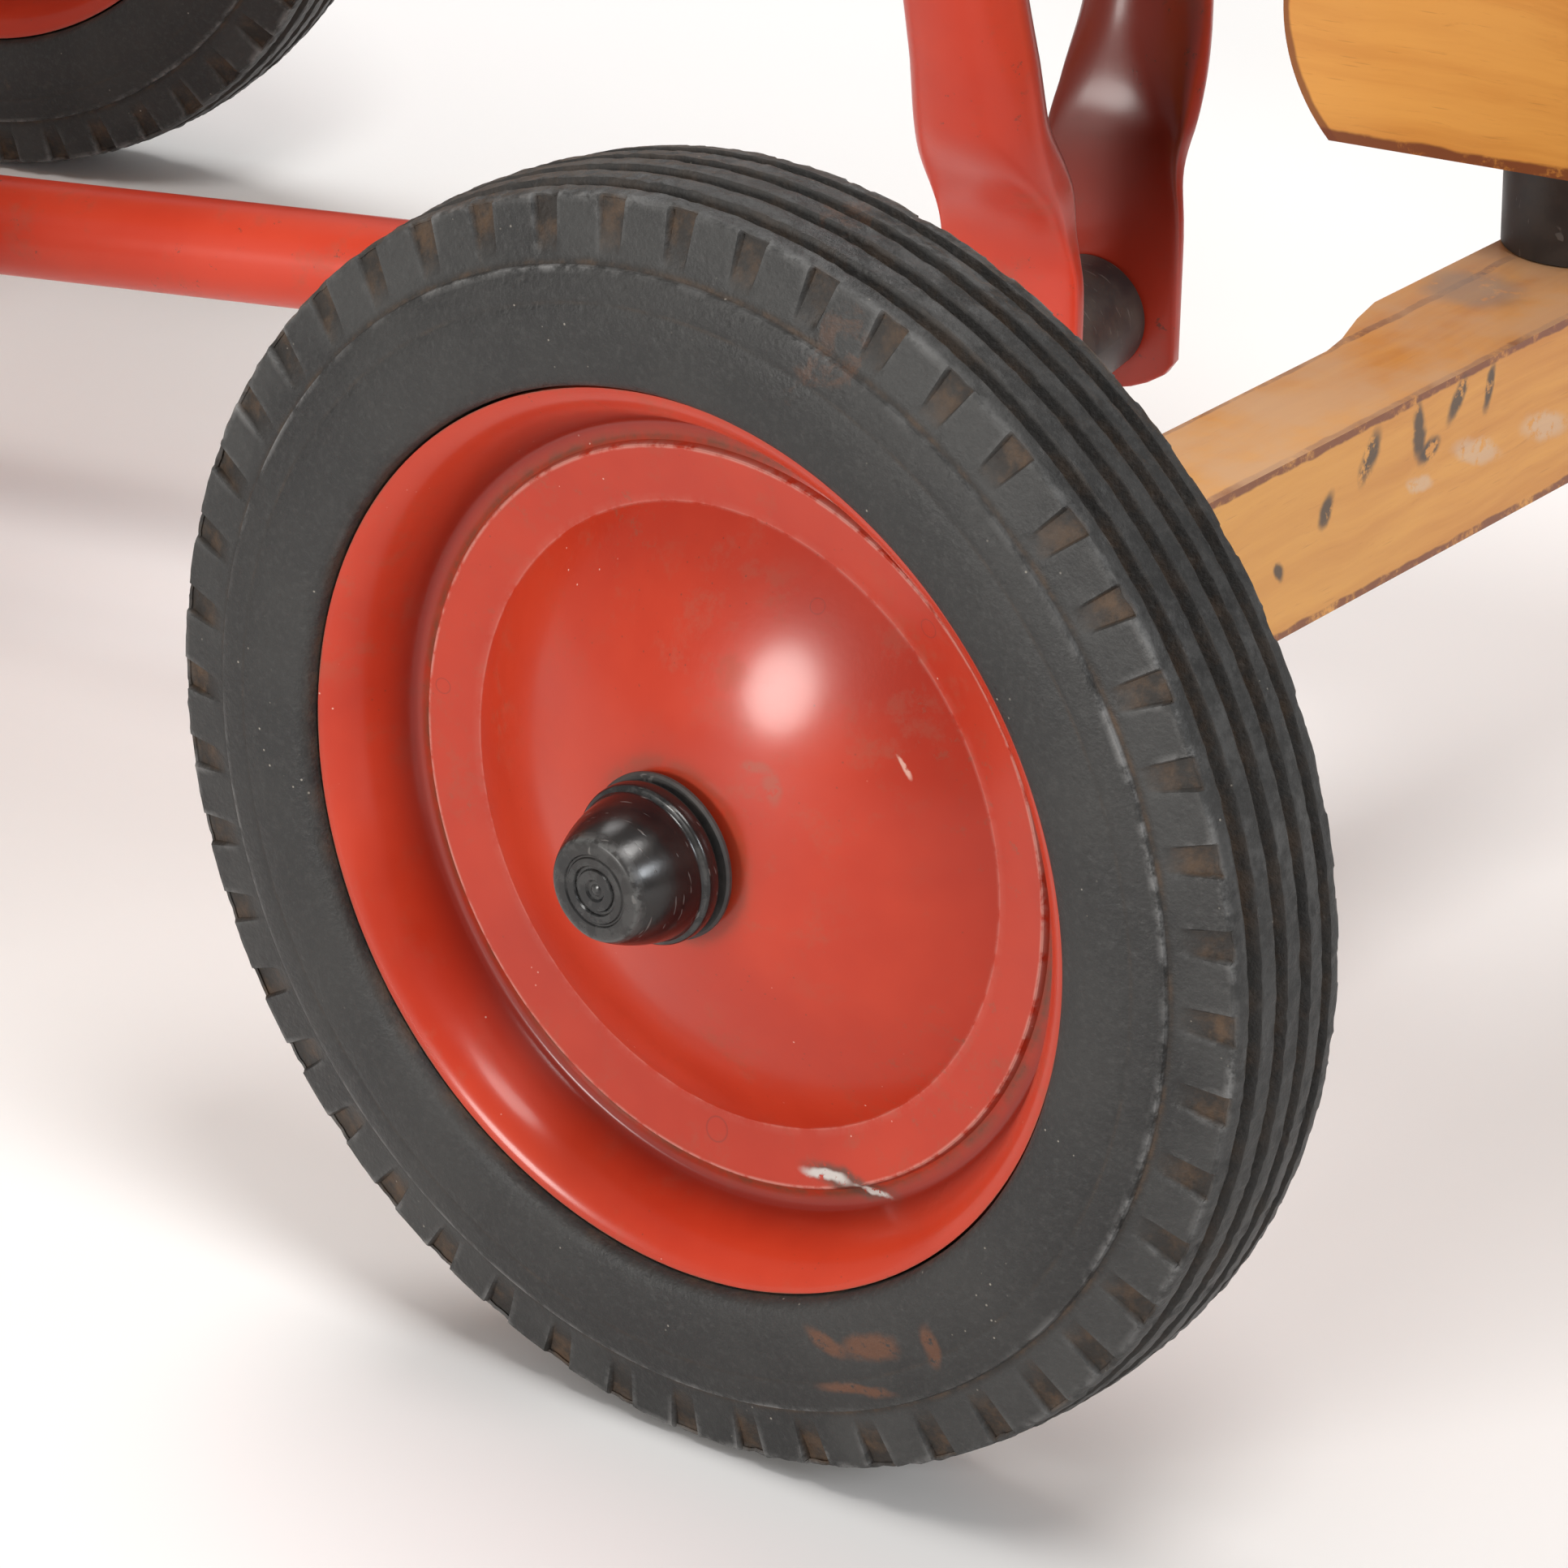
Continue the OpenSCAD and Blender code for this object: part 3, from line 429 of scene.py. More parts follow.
def wood_material(name, origin, turn, along, edges=(), extra=None, dust=0.0, tone=1.0):
    """Lacquered wood with its grain along one axis of its own frame.

    Each edge, a worn dark line, is (axis, value, axis, value, width). dust greys the faces that look up.
    """
    m = Nodes(name, IOR=1.36, Coat_Weight=0.3, Coat_Roughness=0.2)
    toned = lambda *colour: tuple(c * tone for c in colour)
    p = m.moved(origin, turn)
    stretch = [1.0, 1.0, 1.0]
    stretch["xyz".index(along)] = 0.06
    q = m.wobble(p, 0.012, 14)
    grain_at = m.moved(scale=tuple(stretch), where=q)
    rings = m.noise(170, 5, 0.6, grain_at)
    fibre = m.noise(1500, 4, 0.7, grain_at)
    cloud = m.noise(12, 3, 0.5, p)
    base = m.mix(m.ramp(rings, 0.32, 0.70), toned(0.66, 0.30, 0.060), toned(0.53, 0.205, 0.034))
    base = m.mix(m.mul(m.ramp(cloud, 0.35, 0.65), 0.45), base, toned(0.66, 0.33, 0.085))
    base = m.mix(m.mul(m.ramp(fibre, 0.58, 0.75), 0.30), base, (0.36, 0.13, 0.03))
    pores = m.ramp(m.cells(900, m.moved(scale=tuple(stretch), where=p)), 0.05, 0.12, 1.0, 0.0)
    base = m.mix(m.mul(pores, 0.25), base, (0.25, 0.09, 0.025))
    x, y, z = m.xyz(m.wobble(p, 0.0016, 130))
    axes = {"x": x, "y": y, "z": z}
    lines = []
    for a, value_a, b, value_b, width in edges:
        off_a = m.math("ABSOLUTE", m.math("SUBTRACT", axes[a], value_a))
        off_b = m.math("ABSOLUTE", m.math("SUBTRACT", axes[b], value_b))
        lines.append(m.ramp(m.most(off_a, off_b), 0.7 * width, width, 1.0, 0.0))
    if lines:
        edge = m.most(*lines)
        chipped = m.ramp(m.noise(140, 5, 0.75, p), 0.32, 0.50)
        base = m.mix(m.mul(edge, chipped, 0.92), base, (0.17, 0.045, 0.018))
    rough = m.ramp(cloud, 0.35, 0.65, 0.30, 0.42)
    if dust:
        normal = m.tree.nodes.new("ShaderNodeNewGeometry").outputs["Normal"]
        up = m.ramp(m.xyz(normal)[2], 0.5, 0.95)
        coat = m.mul(up, m.ramp(m.noise(45, 5, 0.6, p), 0.25, 0.62), dust)
        base = m.mix(coat, base, (0.56, 0.36, 0.215))
        rough = m.add(rough, m.mul(coat, 0.4))
    if extra:
        base = extra(m, p, base)
    m.to("Base Color", base)
    m.to("Roughness", rough)
    m.bump((rings, 0.06, 0.0006), (fibre, 0.10, 0.0002))
    return m.mat


# ---------- wheels ----------

RUBBER, RED, GLOSS = rubber_material(), disc_material(), black_plastic("cap_black")
MATT = black_plastic("hub_black", 0.02, 0.42)
PAINT, STEEL = paint_material("tube_red"), steel_material()
# Sizes of a wheel are in mm, from its axle and its middle plane.
TREAD = 100
LIP = 14.4     # height of the disc's lip
LUGS = 48


def tyre_rows():
    """Half section of the tyre from the middle of the tread inwards.

    Each row is radius, height, lug, rib, dirt, edge, band; the last marks where the lugs get a painted sheen.
    """
    crown = lambda h: TREAD - 1.2 * (h / 12.9) ** 2
    rows = []
    wall = [(0.25, 0.12), (0.5, 0.55), (0.8, 1.6), (1.15, 2.15)]

    def top(h, worn=0.0):
        rows.append((crown(h), h, 0, 1, 0.0, worn, 0))

    def groove(a, b):
        for d, drop in wall:
            rows.append((crown(a + d) - drop, a + d, 0, 0.6 - 0.3 * drop / 2, 0.1 + 0.12 * drop, 0, 0))
        rows.append((crown((a + b) / 2) - 2.28, (a + b) / 2, 0, 0, 0.4, 0, 0))
        for d, drop in reversed(wall):
            rows.append((crown(b - d) - drop, b - d, 0, 0.6 - 0.3 * drop / 2, 0.1 + 0.12 * drop, 0, 0))

    for h in (0, 0.6, 1.15):
        top(h, 0.25)
    groove(1.25, 4.55)
    for h in (4.65, 5.2, 5.8, 6.4, 6.95):
        top(h, 0.25)
    groove(7.05, 10.35)
    top(10.45, 0.3)
    top(11.1, 0.2)
    top(11.8, 0.25)
    rows.append((98.85, 12.4, 0.25, 1, 0, 0.7, 0.3))
    rows.append((98.55, 12.78, 0.6, 0.8, 0, 1.0, 0.7))
    for r in (98.15, 97.3, 96.2, 95, 93.8, 92.6, 91.5, 90.6, 90.0):
        share = (r - 89.8) / (98.5 - 89.8)
        rows.append((r, 12.95 + (98.5 - r) * 0.163, min(1, 1.25 * share), 0.0, 0,
                     0.55 if r > 98 else 0.0, 1.0))
    rows += [(89.5, 14.42, 0, 0, 0.1, 0, 0.3),
             (89.05, 14.5, 0, 0, 0.45, 0, 0), (88.75, 14.62, 0, 0, 0.4, 0, 0),
             (88.62, 15.0, 0, 0, 0.1, 0.9, 0), (88.5, 15.38, 0, 0, 0, 1.0, 0), (88.15, 15.6, 0, 0, 0, 0.5, 0),
             (87.5, 15.8, 0, 0, 0, 0, 0), (86.2, 16.1, 0, 0, 0, 0, 0), (84.8, 16.33, 0, 0, 0, 0, 0),
             (83.9, 16.42, 0, 0, 0, 0, 0), (83.45, 16.36, 0, 0, 0.15, 0, 0), (83.0, 16.52, 0, 0, 0, 0, 0),
             (82, 16.72, 0, 0, 0, 0, 0), (80.3, 16.92, 0, 0, 0, 0, 0), (78.3, 17.0, 0, 0, 0, 0, 0),
             (76.3, 17.0, 0, 0, 0, 0, 0), (74.4, 16.9, 0, 0, 0, 0, 0), (72.9, 16.7, 0, 0, 0, 0, 0),
             (71.9, 16.42, 0, 0, 0, 0, 0), (71.2, 16.0, 0, 0, 0.1, 0.1, 0), (70.75, 15.4, 0, 0, 0.2, 0, 0),
             (70.55, 14.5, 0, 0, 0.4, 0, 0), (70.45, 12.8, 0, 0, 0.4, 0, 0), (68.2, 8.5, 0, 0, 1, 0, 0),
             (65.9, 3.2, 0, 0, 1, 0, 0), (65.7, 0, 0, 0, 1, 0, 0)]
    return np.array(rows, float)


def tyre(name, place, body, node, seed):
    half = tyre_rows()
    other = half[-2:0:-1] * np.array([1, -1, 1, 1, 1, 1, 1])
    rows = np.concatenate([half, other])
    side = np.sign(rows[:, 1])
    steps = [-2, -1.66, -1.33, -1.1, -1.0, -0.5, 0, 0.5, 1.0, 1.1, 1.33, 1.66]
    t = np.tile(np.array(steps), LUGS)
    lug = np.repeat(np.arange(LUGS), len(steps))
    share = np.clip((rows[:, 0] - 90) / 8.5, 0, 1)
    ccw = np.full(len(rows), 0.14)
    cw = np.where(rows[:, 2] > 0, 0.12 + 0.085 * share, 0.17)
    T, wide_n, wide_p = t[:, None], cw[None, :], ccw[None, :]
    flip = np.where(side >= 0, 1.0, -1.0)[None, :]
    negative = T * flip < 0
    width = np.where(negative, wide_n, wide_p)
    a = np.abs(T)
    phase = np.sign(T) * np.where(a <= 1, width * a, width + (a - 1) * (0.5 - width))
    angle = (lug[:, None] + phase) * 2 * math.pi / LUGS
    inside = np.where(a <= 1.0, 1.0, 0.0)
    rng = np.random.default_rng(seed)
    depth = 1.0 + 0.25 * rng.standard_normal(LUGS)[lug][:, None] * 0.4
    recess = inside * rows[None, :, 2] * 1.15 * depth
    R = np.repeat(rows[None, :, 0], len(t), 0)
    H = np.repeat(rows[None, :, 1], len(t), 0)
    H = H - np.sign(H) * recess * np.where(rows[None, :, 0] < 98.7, 1.0, 0.6)
    R = R - recess * np.where(rows[None, :, 0] > 98.3, 0.35, 0.0)
    rib = rows[None, :, 3]
    lumps = np.stack([waves(angle[:, j], seed * 97 + int(round(rows[j, 1] / 1.6)), 30, 210, 11)
                      for j in range(len(rows))], 1)
    low = np.stack([waves(angle[:, j], seed * 31 + int(round(rows[j, 1] / 4.0)), 3, 14, 5)
                    for j in range(len(rows))], 1)
    R = R - rib * (0.16 + 0.14 * lumps + 0.08 * low)
    shoulder = rows[None, :, 5] * (rows[None, :, 0] > 98)
    R = R - shoulder * 0.10 * np.abs(lumps)
    R = np.minimum(R, TREAD - 0.02)
    pts = np.stack([R * np.cos(angle), R * np.sin(angle), H], 2).reshape(-1, 3) * MM
    n, k = len(t), len(rows)
    obj = make_mesh(name, placed(pts, place), grid_faces(n, k, True, True), RUBBER, body,
                    [node], sharp=28, weld=False)
    pocket = inside * np.clip(rows[None, :, 2] * 1.6, 0, 1)
    set_attribute(obj, "dirt_and_shade", np.clip(rows[None, :, 4] + 0.6 * pocket, 0, 1))
    rim = np.where((np.abs(a - 1.1) < 0.01), rows[None, :, 2], 0) * 0.6
    worn = np.clip(np.repeat(rows[None, :, 5], n, 0) + rim, 0, 1)
    set_attribute(obj, "edge", worn * (1 - 0.7 * pocket))
    # The lugs take the painted sheen, except inside their recesses.
    set_attribute(obj, "sheen_band", rows[None, :, 6] * (1 - pocket))
    return obj


def disc_profile(ring_in, ring_out):
    """Shown face from the bore to the lip, measured from the lip plane. The flat ring drops outwards."""
    dome = lambda r: 2.6 - (2.6 + ring_in) * (r / 49) ** 2
    face = [(8, dome(8))] + [(r, dome(r)) for r in np.arange(9.5, 48.6, 1.5)]
    face += [(48.7, dome(48.7)), (49.0, -ring_in + 0.02), (49.35, -ring_in + 0.06)]
    slope = (ring_in - ring_out) / 9
    face += [(r, -ring_in + slope * (r - 49)) for r in (50.5, 52.5, 54.5, 56.5, 57.4)]
    face += [(57.8, -ring_out - 0.02), (58.05, -ring_out - 0.2), (58.2, -ring_out - 0.55),
             (58.5, -ring_out - 1.05), (59.1, -ring_out - 1.3), (60.2, -ring_out - 1.42)]
    channel = smooth_line([(60.2, -ring_out - 1.42), (61.6, -ring_out - 0.9), (62.8, -ring_out + 1.4),
                           (63.9, -7.4), (65.1, -4.6), (66.4, -2.5), (67.8, -1.1), (69.1, -0.35),
                           (70.1, -0.1)], 4)
    return face + channel[1:]


def disc(name, place, body, node, outer):
    face = disc_profile(*((13.2, 11.5) if outer else (12.1, 10.9)))
    back = []
    for r, h in reversed(face):
        out = 1.3 * min(1, max(0, -h / 4)) if r > 60.4 else 0
        back.append((r + out, h - 1.6))
    profile = [(r, h + LIP) for r, h in face + back]
    obj = lathe(name, profile, 192, place, RED, body, [node], sharp=30, closed=True)
    r = radial(obj, place)
    front = heights(obj, place) > 0
    set_attribute(obj, "edge", np.where(front, np.exp(-((r - 57.95) / 0.22) ** 2)
                  + 0.35 * np.exp(-((r - 49.1) / 0.2) ** 2), 0))
    set_attribute(obj, "dirt_and_shade", np.exp(-((r - 59.2) / 1.0) ** 2) + 0.5 * np.exp(-((r - 13.5) / 1.5) ** 2)
                  + 0.9 * (r > 69.9))
    # painted shade in the channel bottom, on the shown face only
    set_attribute(obj, "deep", front * (np.exp(-((r - 61.6) / 1.8) ** 2)))
    set_attribute(obj, "face", front * np.exp(-((r - 50) / 9.0) ** 2))
    return obj


def local_points(obj, place):
    inv = np.array(place.inverted())
    co = np.zeros(len(obj.data.vertices) * 3)
    obj.data.vertices.foreach_get("co", co)
    return (co.reshape(-1, 3) @ inv[:3, :3].T + inv[:3, 3]) / MM


def radial(obj, place):
    p = local_points(obj, place)
    return np.hypot(p[:, 0], p[:, 1])


def heights(obj, place):
    return local_points(obj, place)[:, 2]


def cap(name, place, body, node):
    tip = [(0, 18.75), (0.55, 18.72), (0.95, 18.45), (1.4, 18.5), (1.75, 18.85), (2.5, 18.9), (3.1, 18.86),
           (3.35, 18.5), (3.7, 18.5), (3.95, 18.9), (5.0, 18.95), (5.2, 18.72), (5.45, 18.72), (5.65, 18.97),
           (6.6, 19.0), (7.45, 18.95), (7.85, 18.75), (8.1, 18.35)]
    side = smooth_line([(8.1, 18.35), (8.9, 16.9), (9.9, 14.6), (10.7, 12.2), (11.2, 10.0), (11.5, 8.4)], 4)
    base = [(11.75, 8.1), (12.05, 8.0), (12.3, 7.8), (12.45, 7.4), (12.5, 6.8), (12.5, 5.9), (12.3, 5.4),
            (11.8, 5.25), (9.5, 5.2), (5.05, 5.2)]
    profile = [(r, h + LIP) for r, h in tip + side[1:] + base]
    obj = lathe(name, profile, 128, place, GLOSS, body, [node], sharp=38)
    r, h = radial(obj, place), heights(obj, place) - LIP
    set_attribute(obj, "edge", np.where(h > 17.6, 0.25 + 0.75 * np.exp(-((r - 7.9) / 0.3) ** 2), 0)
                  + 0.4 * np.exp(-((h - 8.0) / 0.2) ** 2))
    return obj


def washer_ring(name, places, body, node):
    bevel = 0.35
    r0, r1, z0, z1 = 5.0, 13.0, 3.0, 4.2
    ring = [(r0, z0), (r1 - bevel, z0), (r1, z0 + bevel), (r1, z1 - bevel), (r1 - bevel, z1), (r0, z1)]
    pts, faces = [], []
    for place in places:
        base = len(pts)
        pts += list(turned([(r, h + LIP) for r, h in ring], 96, place))
        faces += [tuple(i + base for i in f) for f in grid_faces(96, len(ring), True, True)]
    obj = make_mesh(name, pts, faces, MATT, body, [node], sharp=25)
    set_attribute(obj, "edge", np.full(len(obj.data.vertices), 0.15))
    return obj


def wheel_place(name, side):
    j = joints[name + "_spin"]
    z = Vector(j["axis"]).normalized() * side
    x = Vector((0, 0, -1)) * side
    y = z.cross(x)
    m = Matrix((x, y, z)).transposed().to_4x4()
    m.translation = Vector(j["pos_m"])
    return m


places = {}
sides = (("front_right", -1), ("front_left", 1), ("rear_right", -1), ("rear_left", 1))
for seed, (name, side) in enumerate(sides):
    place = wheel_place(name, side)
    places[name] = place
    body = name + "_wheel"
    holder = "front_axle" if name.startswith("front") else "crankshaft"
    tyre("ribbed_tyre_" + name, place, body, "tyre_" + name, seed + 3)
    disc("dished_disc_outer_" + name, place, body, "disc_outer_" + name, True)
    inward = place @ Matrix.Rotation(math.pi, 4, "X")
    disc("dished_disc_inner_" + name, inward, body, "disc_inner_" + name, False)
    cap("domed_cap_" + name, place, holder, "cap_" + name)
washer_ring("front_hub_washers", [places["front_right"], places["front_left"]], "front_axle", "front_washers")
washer_ring("rear_hub_washers", [places["rear_right"], places["rear_left"]], "crankshaft", "rear_washers")


# ---------- CAD nodes that keep their shape ----------

def bevel(node, width, segments=3, angle=30):
    o = frame["nodes"][node]
    b = o.modifiers.new("soft_edges", "BEVEL")
    b.width = width
    b.segments = segments
    b.limit_method = "ANGLE"
    b.angle_limit = math.radians(angle)
    b.harden_normals = False


def paint(material, *names):
    for n in names:
        o = frame["nodes"][n]
        o.data.materials.clear()
        o.data.materials.append(material)


king = Vector(joints["steer"]["pos_m"])
king.z = 0
stub = joints["front_right_spin"]["axis"]
turn = math.atan2(stub[0], stub[1])
fork_pin = Vector(joints["rod_pivot"]["pos_m"])
fulcrum = Vector(joints["lever_swing"]["pos_m"])


BEAM_FRONT, BEAM_BACK, BEAM_TOP, BEAM_UNDER = 0.0179, -0.0047, 0.1192, 0.0892
BLOCK_SIDE, BLOCK_UNDER = 0.022, 0.1382


def beam_extra(m, p, base):
    scuff = [(BEAM_FRONT, -0.1000, 0.1075, 0.004, 0.0024, 0.0042, (0.5, 0, 0)),
             (BEAM_FRONT, -0.0882, 0.1130, 0.004, 0.0028, 0.0062, (0.50, 0, 0)),
             (BEAM_FRONT, -0.0742, 0.1130, 0.004, 0.0022, 0.0070, (-0.1, 0, 0)),
             (BEAM_FRONT, -0.0712, 0.1085, 0.004, 0.0042, 0.0026, (-0.4, 0, 0)),
             (BEAM_FRONT, -0.0632, 0.1150, 0.004, 0.0024, 0.0054, (0.6, 0, 0)),
             (BEAM_FRONT, -0.0540, 0.1140, 0.004, 0.0017, 0.0052, (0.3, 0, 0)),
             (BEAM_FRONT, -0.1130, 0.1010, 0.004, 0.0024, 0.0016, (0.9, 0, 0))]
    base = marks(m, p, base, (0.035, 0.030, 0.026), scuff, 0.9)
    pale = [(BEAM_FRONT, -0.0570, 0.1040, 0.004, 0.0095, 0.0026, (0.35, 0, 0)),
            (BEAM_FRONT, -0.0370, 0.1020, 0.004, 0.0090, 0.0034, (0.30, 0, 0)),
            (BEAM_FRONT, -0.0735, 0.1035, 0.004, 0.0050, 0.0018, (0.35, 0, 0)),
            (BEAM_FRONT, 0.0600, 0.1040, 0.004, 0.0080, 0.0020, (0.2, 0, 0))]
    base = marks(m, p, base, (0.56, 0.44, 0.34), pale, 0.5, 330)
    smudge = [(-0.002, -0.030, BEAM_TOP, 0.012, 0.010, 0.004, (0, 0, 0.4))]
    return marks(m, p, base, (0.22, 0.21, 0.20), smudge, 0.5, 160)


beam_wood = wood_material(
    "beam_wood", tuple(king), (0, 0, turn), "y",
    edges=(("x", BEAM_FRONT, "z", BEAM_TOP, 0.0016), ("x", BEAM_FRONT, "z", BEAM_UNDER, 0.0016),
           ("x", BEAM_BACK, "z", BEAM_TOP, 0.0010)),
    extra=beam_extra, dust=0.75)


def block_extra(m, p, base):
    pale = [(-0.024, -BLOCK_SIDE, 0.206, 0.006, 0.004, 0.0035, (0, 0.5, 0)),
            (-0.012, -BLOCK_SIDE, 0.199, 0.005, 0.004, 0.0040, (0, 0.3, 0)),
            (-0.018, -BLOCK_SIDE, 0.190, 0.007, 0.004, 0.0025, (0, 0.2, 0))]
    base = marks(m, p, base, (0.56, 0.46, 0.40), pale, 0.6, 300)
    # the worn line round the block's rear arc, on its right side
    x, y, z = m.xyz(m.wobble(p, 0.0012, 150))
    across, rise = m.math("ADD", x, 0.0112), m.math("SUBTRACT", z, 0.162)
    reach = m.math("SQRT", m.add(m.mul(across, across), m.mul(rise, rise)))
    off_arc = m.math("ABSOLUTE", m.math("SUBTRACT", reach, 0.035))
    rim = m.most(off_arc, m.math("ABSOLUTE", m.math("ADD", y, BLOCK_SIDE)))
    rim = m.mul(m.ramp(rim, 0.0008, 0.0014, 1.0, 0.0), m.ramp(x, -0.022, -0.018, 1.0, 0.0))
    return m.mix(m.mul(rim, 0.8), base, (0.17, 0.045, 0.018))


block_wood = wood_material(
    "block_wood", tuple(king), (0, 0, 0), "x",
    edges=[("y", y, "z", BLOCK_UNDER, 0.0024) for y in (-BLOCK_SIDE, BLOCK_SIDE)],
    extra=block_extra, tone=1.12)
rail_wood = wood_material("rail_wood", (0, 0, 0), (0, 0, 0), "x",
                          edges=[("y", y, "z", 0.190, 0.0014) for y in (-0.040, 0.040)], dust=0.3)
board_wood = wood_material("board_wood", (0, 0, 0), (0, 0, 0), "z")
seat_wood = wood_material("seat_wood", (0, 0, 0), (0, 0, 0), "x", tone=1.03)
back_wood = wood_material("back_wood", (0, 0, 0), (0, 0, 0), "y", tone=1.03)
paint(beam_wood, "steering_beam")
paint(block_wood, "pivot_block")
paint(rail_wood, "rail_right", "rail_left", "rear_block")
paint(board_wood, "bearing_board_right", "bearing_board_left")
paint(seat_wood, "seat_board")
paint(back_wood, "backrest")
bevel("steering_beam", 0.0011)
bevel("pivot_block", 0.0010)
for n in ("rail_right", "rail_left"):
    bevel(n, 0.0020)
for n in ("bearing_board_right", "bearing_board_left", "rear_block"):
    bevel(n, 0.0018)
bevel("seat_board", 0.0045, 4, 50)
bevel("backrest", 0.0035, 4, 50)

paint(STEEL, "stub_axle_right", "stub_axle_left", "front_collars", "king_pin_bolt", "king_pin_washers",
      "king_pin_nut", "frame_bolts", "axle_bearing_right", "axle_bearing_left", "crank_axle", "rear_collars",
      "fork_bolt", "fork_nut", "fulcrum_pin", "fulcrum_nut", "fulcrum_spacers", "wood_screws")
paint(MATT, "king_pin_spacer", "hub_bush_front_right", "hub_bush_front_left", "hub_bush_rear_right",
      "hub_bush_rear_left")
paint(PAINT, "rod_tube", "rod_rear_eye", "handlebar", "backrest_stays")
EYE = black_plastic("eye_black", 0.03, 0.38)
paint(EYE, "rod_front_eye", "rod_front_bush")
paint(rubber_plain("bush_rubber"), "rod_rear_bush")
paint(rubber_plain("grip_rubber"), "grip_right", "grip_left")
for n in ("king_pin_nut", "fork_nut", "fulcrum_nut", "front_collars", "rear_collars", "king_pin_spacer"):
    bevel(n, 0.0005, 2)
for o in frame["nodes"].values():
    o.data.polygons.foreach_set("use_smooth", [True] * len(o.data.polygons))
    o.data.set_sharp_from_angle(angle=math.radians(28))


# ---------- lever arms ----------

# Sizes of an arm are in mm: up from the fork pin, out from the car's middle.
TUBE_R = 10
FOOT, FLAT_OUT, LEAN_FROM, BEND_UP = 14, 19, 14, 110
LEAN = math.radians(18.5)
FOLD_OUT = 20.5
BEND_OUT = FOLD_OUT + math.tan(LEAN) * (BEND_UP - LEAN_FROM)


def arm_section(up):
    """Front and rear half width, half thickness, squareness and middle of an arm above the fork pin.

    The foot is a flat strip and the rest a round tube; the fold between them is flared.
    """
    flat = 1.0 if up <= 20 else 0.5 + 0.5 * math.cos(math.pi * min(1, (up - 20) / 80))
    thick = 1.0 if up <= 21 else 0.5 + 0.5 * math.cos(math.pi * min(1, (up - 21) / 33))
    neck = 1.1 * math.exp(-((up - 29) / 7) ** 2)
    front, rear = TUBE_R + 4.5 * flat - neck, TUBE_R + 1.8 * flat
    if up < 4:
        foot = 0.2 + math.sqrt(max(0, 20.4 ** 2 - (6.5 - up) ** 2))
        front, rear = min(front, foot), min(rear, foot)
    tube = FOLD_OUT + math.tan(LEAN) * (up - LEAN_FROM)
    middle = FLAT_OUT + (tube - FLAT_OUT) * (1 - thick)
    half_t = (TUBE_R - 8 * thick) / (1 - (1 - math.cos(LEAN)) * (1 - thick))
    return front, rear, half_t, 2 + 5 * thick, middle


def lever_arm(name, side, node):
    sections = [(up, *arm_section(up)) for up in
                [-FOOT, -13.6, -12.8, -11.5, -9.5, -7, -4, 0, 4, 8, 12, 16, 19.5]
                + [21 + 1.5 * i for i in range(36)] + [78 + 4 * i for i in range(7)]]
    for k in range(1, 9):
        share = k / 8
        up = 104 + 12 * share
        out = BEND_OUT + math.tan(LEAN) * (-6 + 6 * min(1, 2 * share) - 1.2 * share * (1 - share))
        sections.append((up, TUBE_R, TUBE_R, TUBE_R / math.cos(LEAN * (1 - share)), 2, out))
    sections += [(up, TUBE_R, TUBE_R, TUBE_R, 2, BEND_OUT) for up in (130, 180, 240, 300, 350, 393.7)]
    steps = 72
    lever_up = (fulcrum - fork_pin).normalized()
    across = Vector((0, 1, 0)).cross(lever_up)
    pts = []
    for up, front, rear, half_t, power, middle in sections:
        # each arm was flattened by hand, so its outline differs from the other's a little, as in the photo
        if side > 0:
            front += float(np.interp(up, [20, 35, 55, 75, 108], [1.7, 1.9, 0.2, -1.2, 0]))
            rear += float(np.interp(up, [20, 40, 60, 75, 108], [0, -1.6, -0.6, 0, 0]))
            ahead = 0
        else:
            front += float(np.interp(up, [20, 30, 42, 55, 80], [0, -0.6, -1.0, -0.6, 0]))
            ahead = float(np.interp(up, [35, 45, 55, 65, 90, 108], [0, 0.3, 0.6, 1.1, 1.1, 0]))
        for k in range(steps):
            a = 2 * math.pi * k / steps
            c, d = math.cos(a), math.sin(a)
            x = (front if c > 0 else rear) * math.copysign(abs(c) ** (2 / power), c) + ahead
            y = half_t * math.copysign(abs(d) ** (2 / power), d)
            outward = Vector((0, side * (middle + y), 0))
            pts.append(tuple(fork_pin + MM * (across * x + lever_up * up + outward)))
    rings = len(sections)
    faces = grid_faces(rings, steps, False, True)
    faces.append(tuple(range(steps))[::-1])
    faces.append(tuple(range((rings - 1) * steps, rings * steps)))
    obj = make_mesh(name, pts, faces, PAINT, "lever", [node], sharp=40)
    # Painted shade on the inward faces of each arm, heavier higher up; on the tyres and discs the same
    # attribute carries brown grime.
    normals = np.zeros(len(obj.data.vertices) * 3)
    obj.data.vertices.foreach_get("normal", normals)
    inner = np.clip(-side * normals.reshape(-1, 3)[:, 1] * 1.6 + 0.3, 0, 1)
    height = np.array([v.co.z for v in obj.data.vertices]) - fork_pin.z
    set_attribute(obj, "dirt_and_shade", inner * np.clip(0.25 + height / 0.045, 0.25, 1))
    return obj


lever_arm("flattened_arm_right", -1, "lever_arm_right")
lever_arm("flattened_arm_left", 1, "lever_arm_left")


# ---------- floor, light and camera ----------

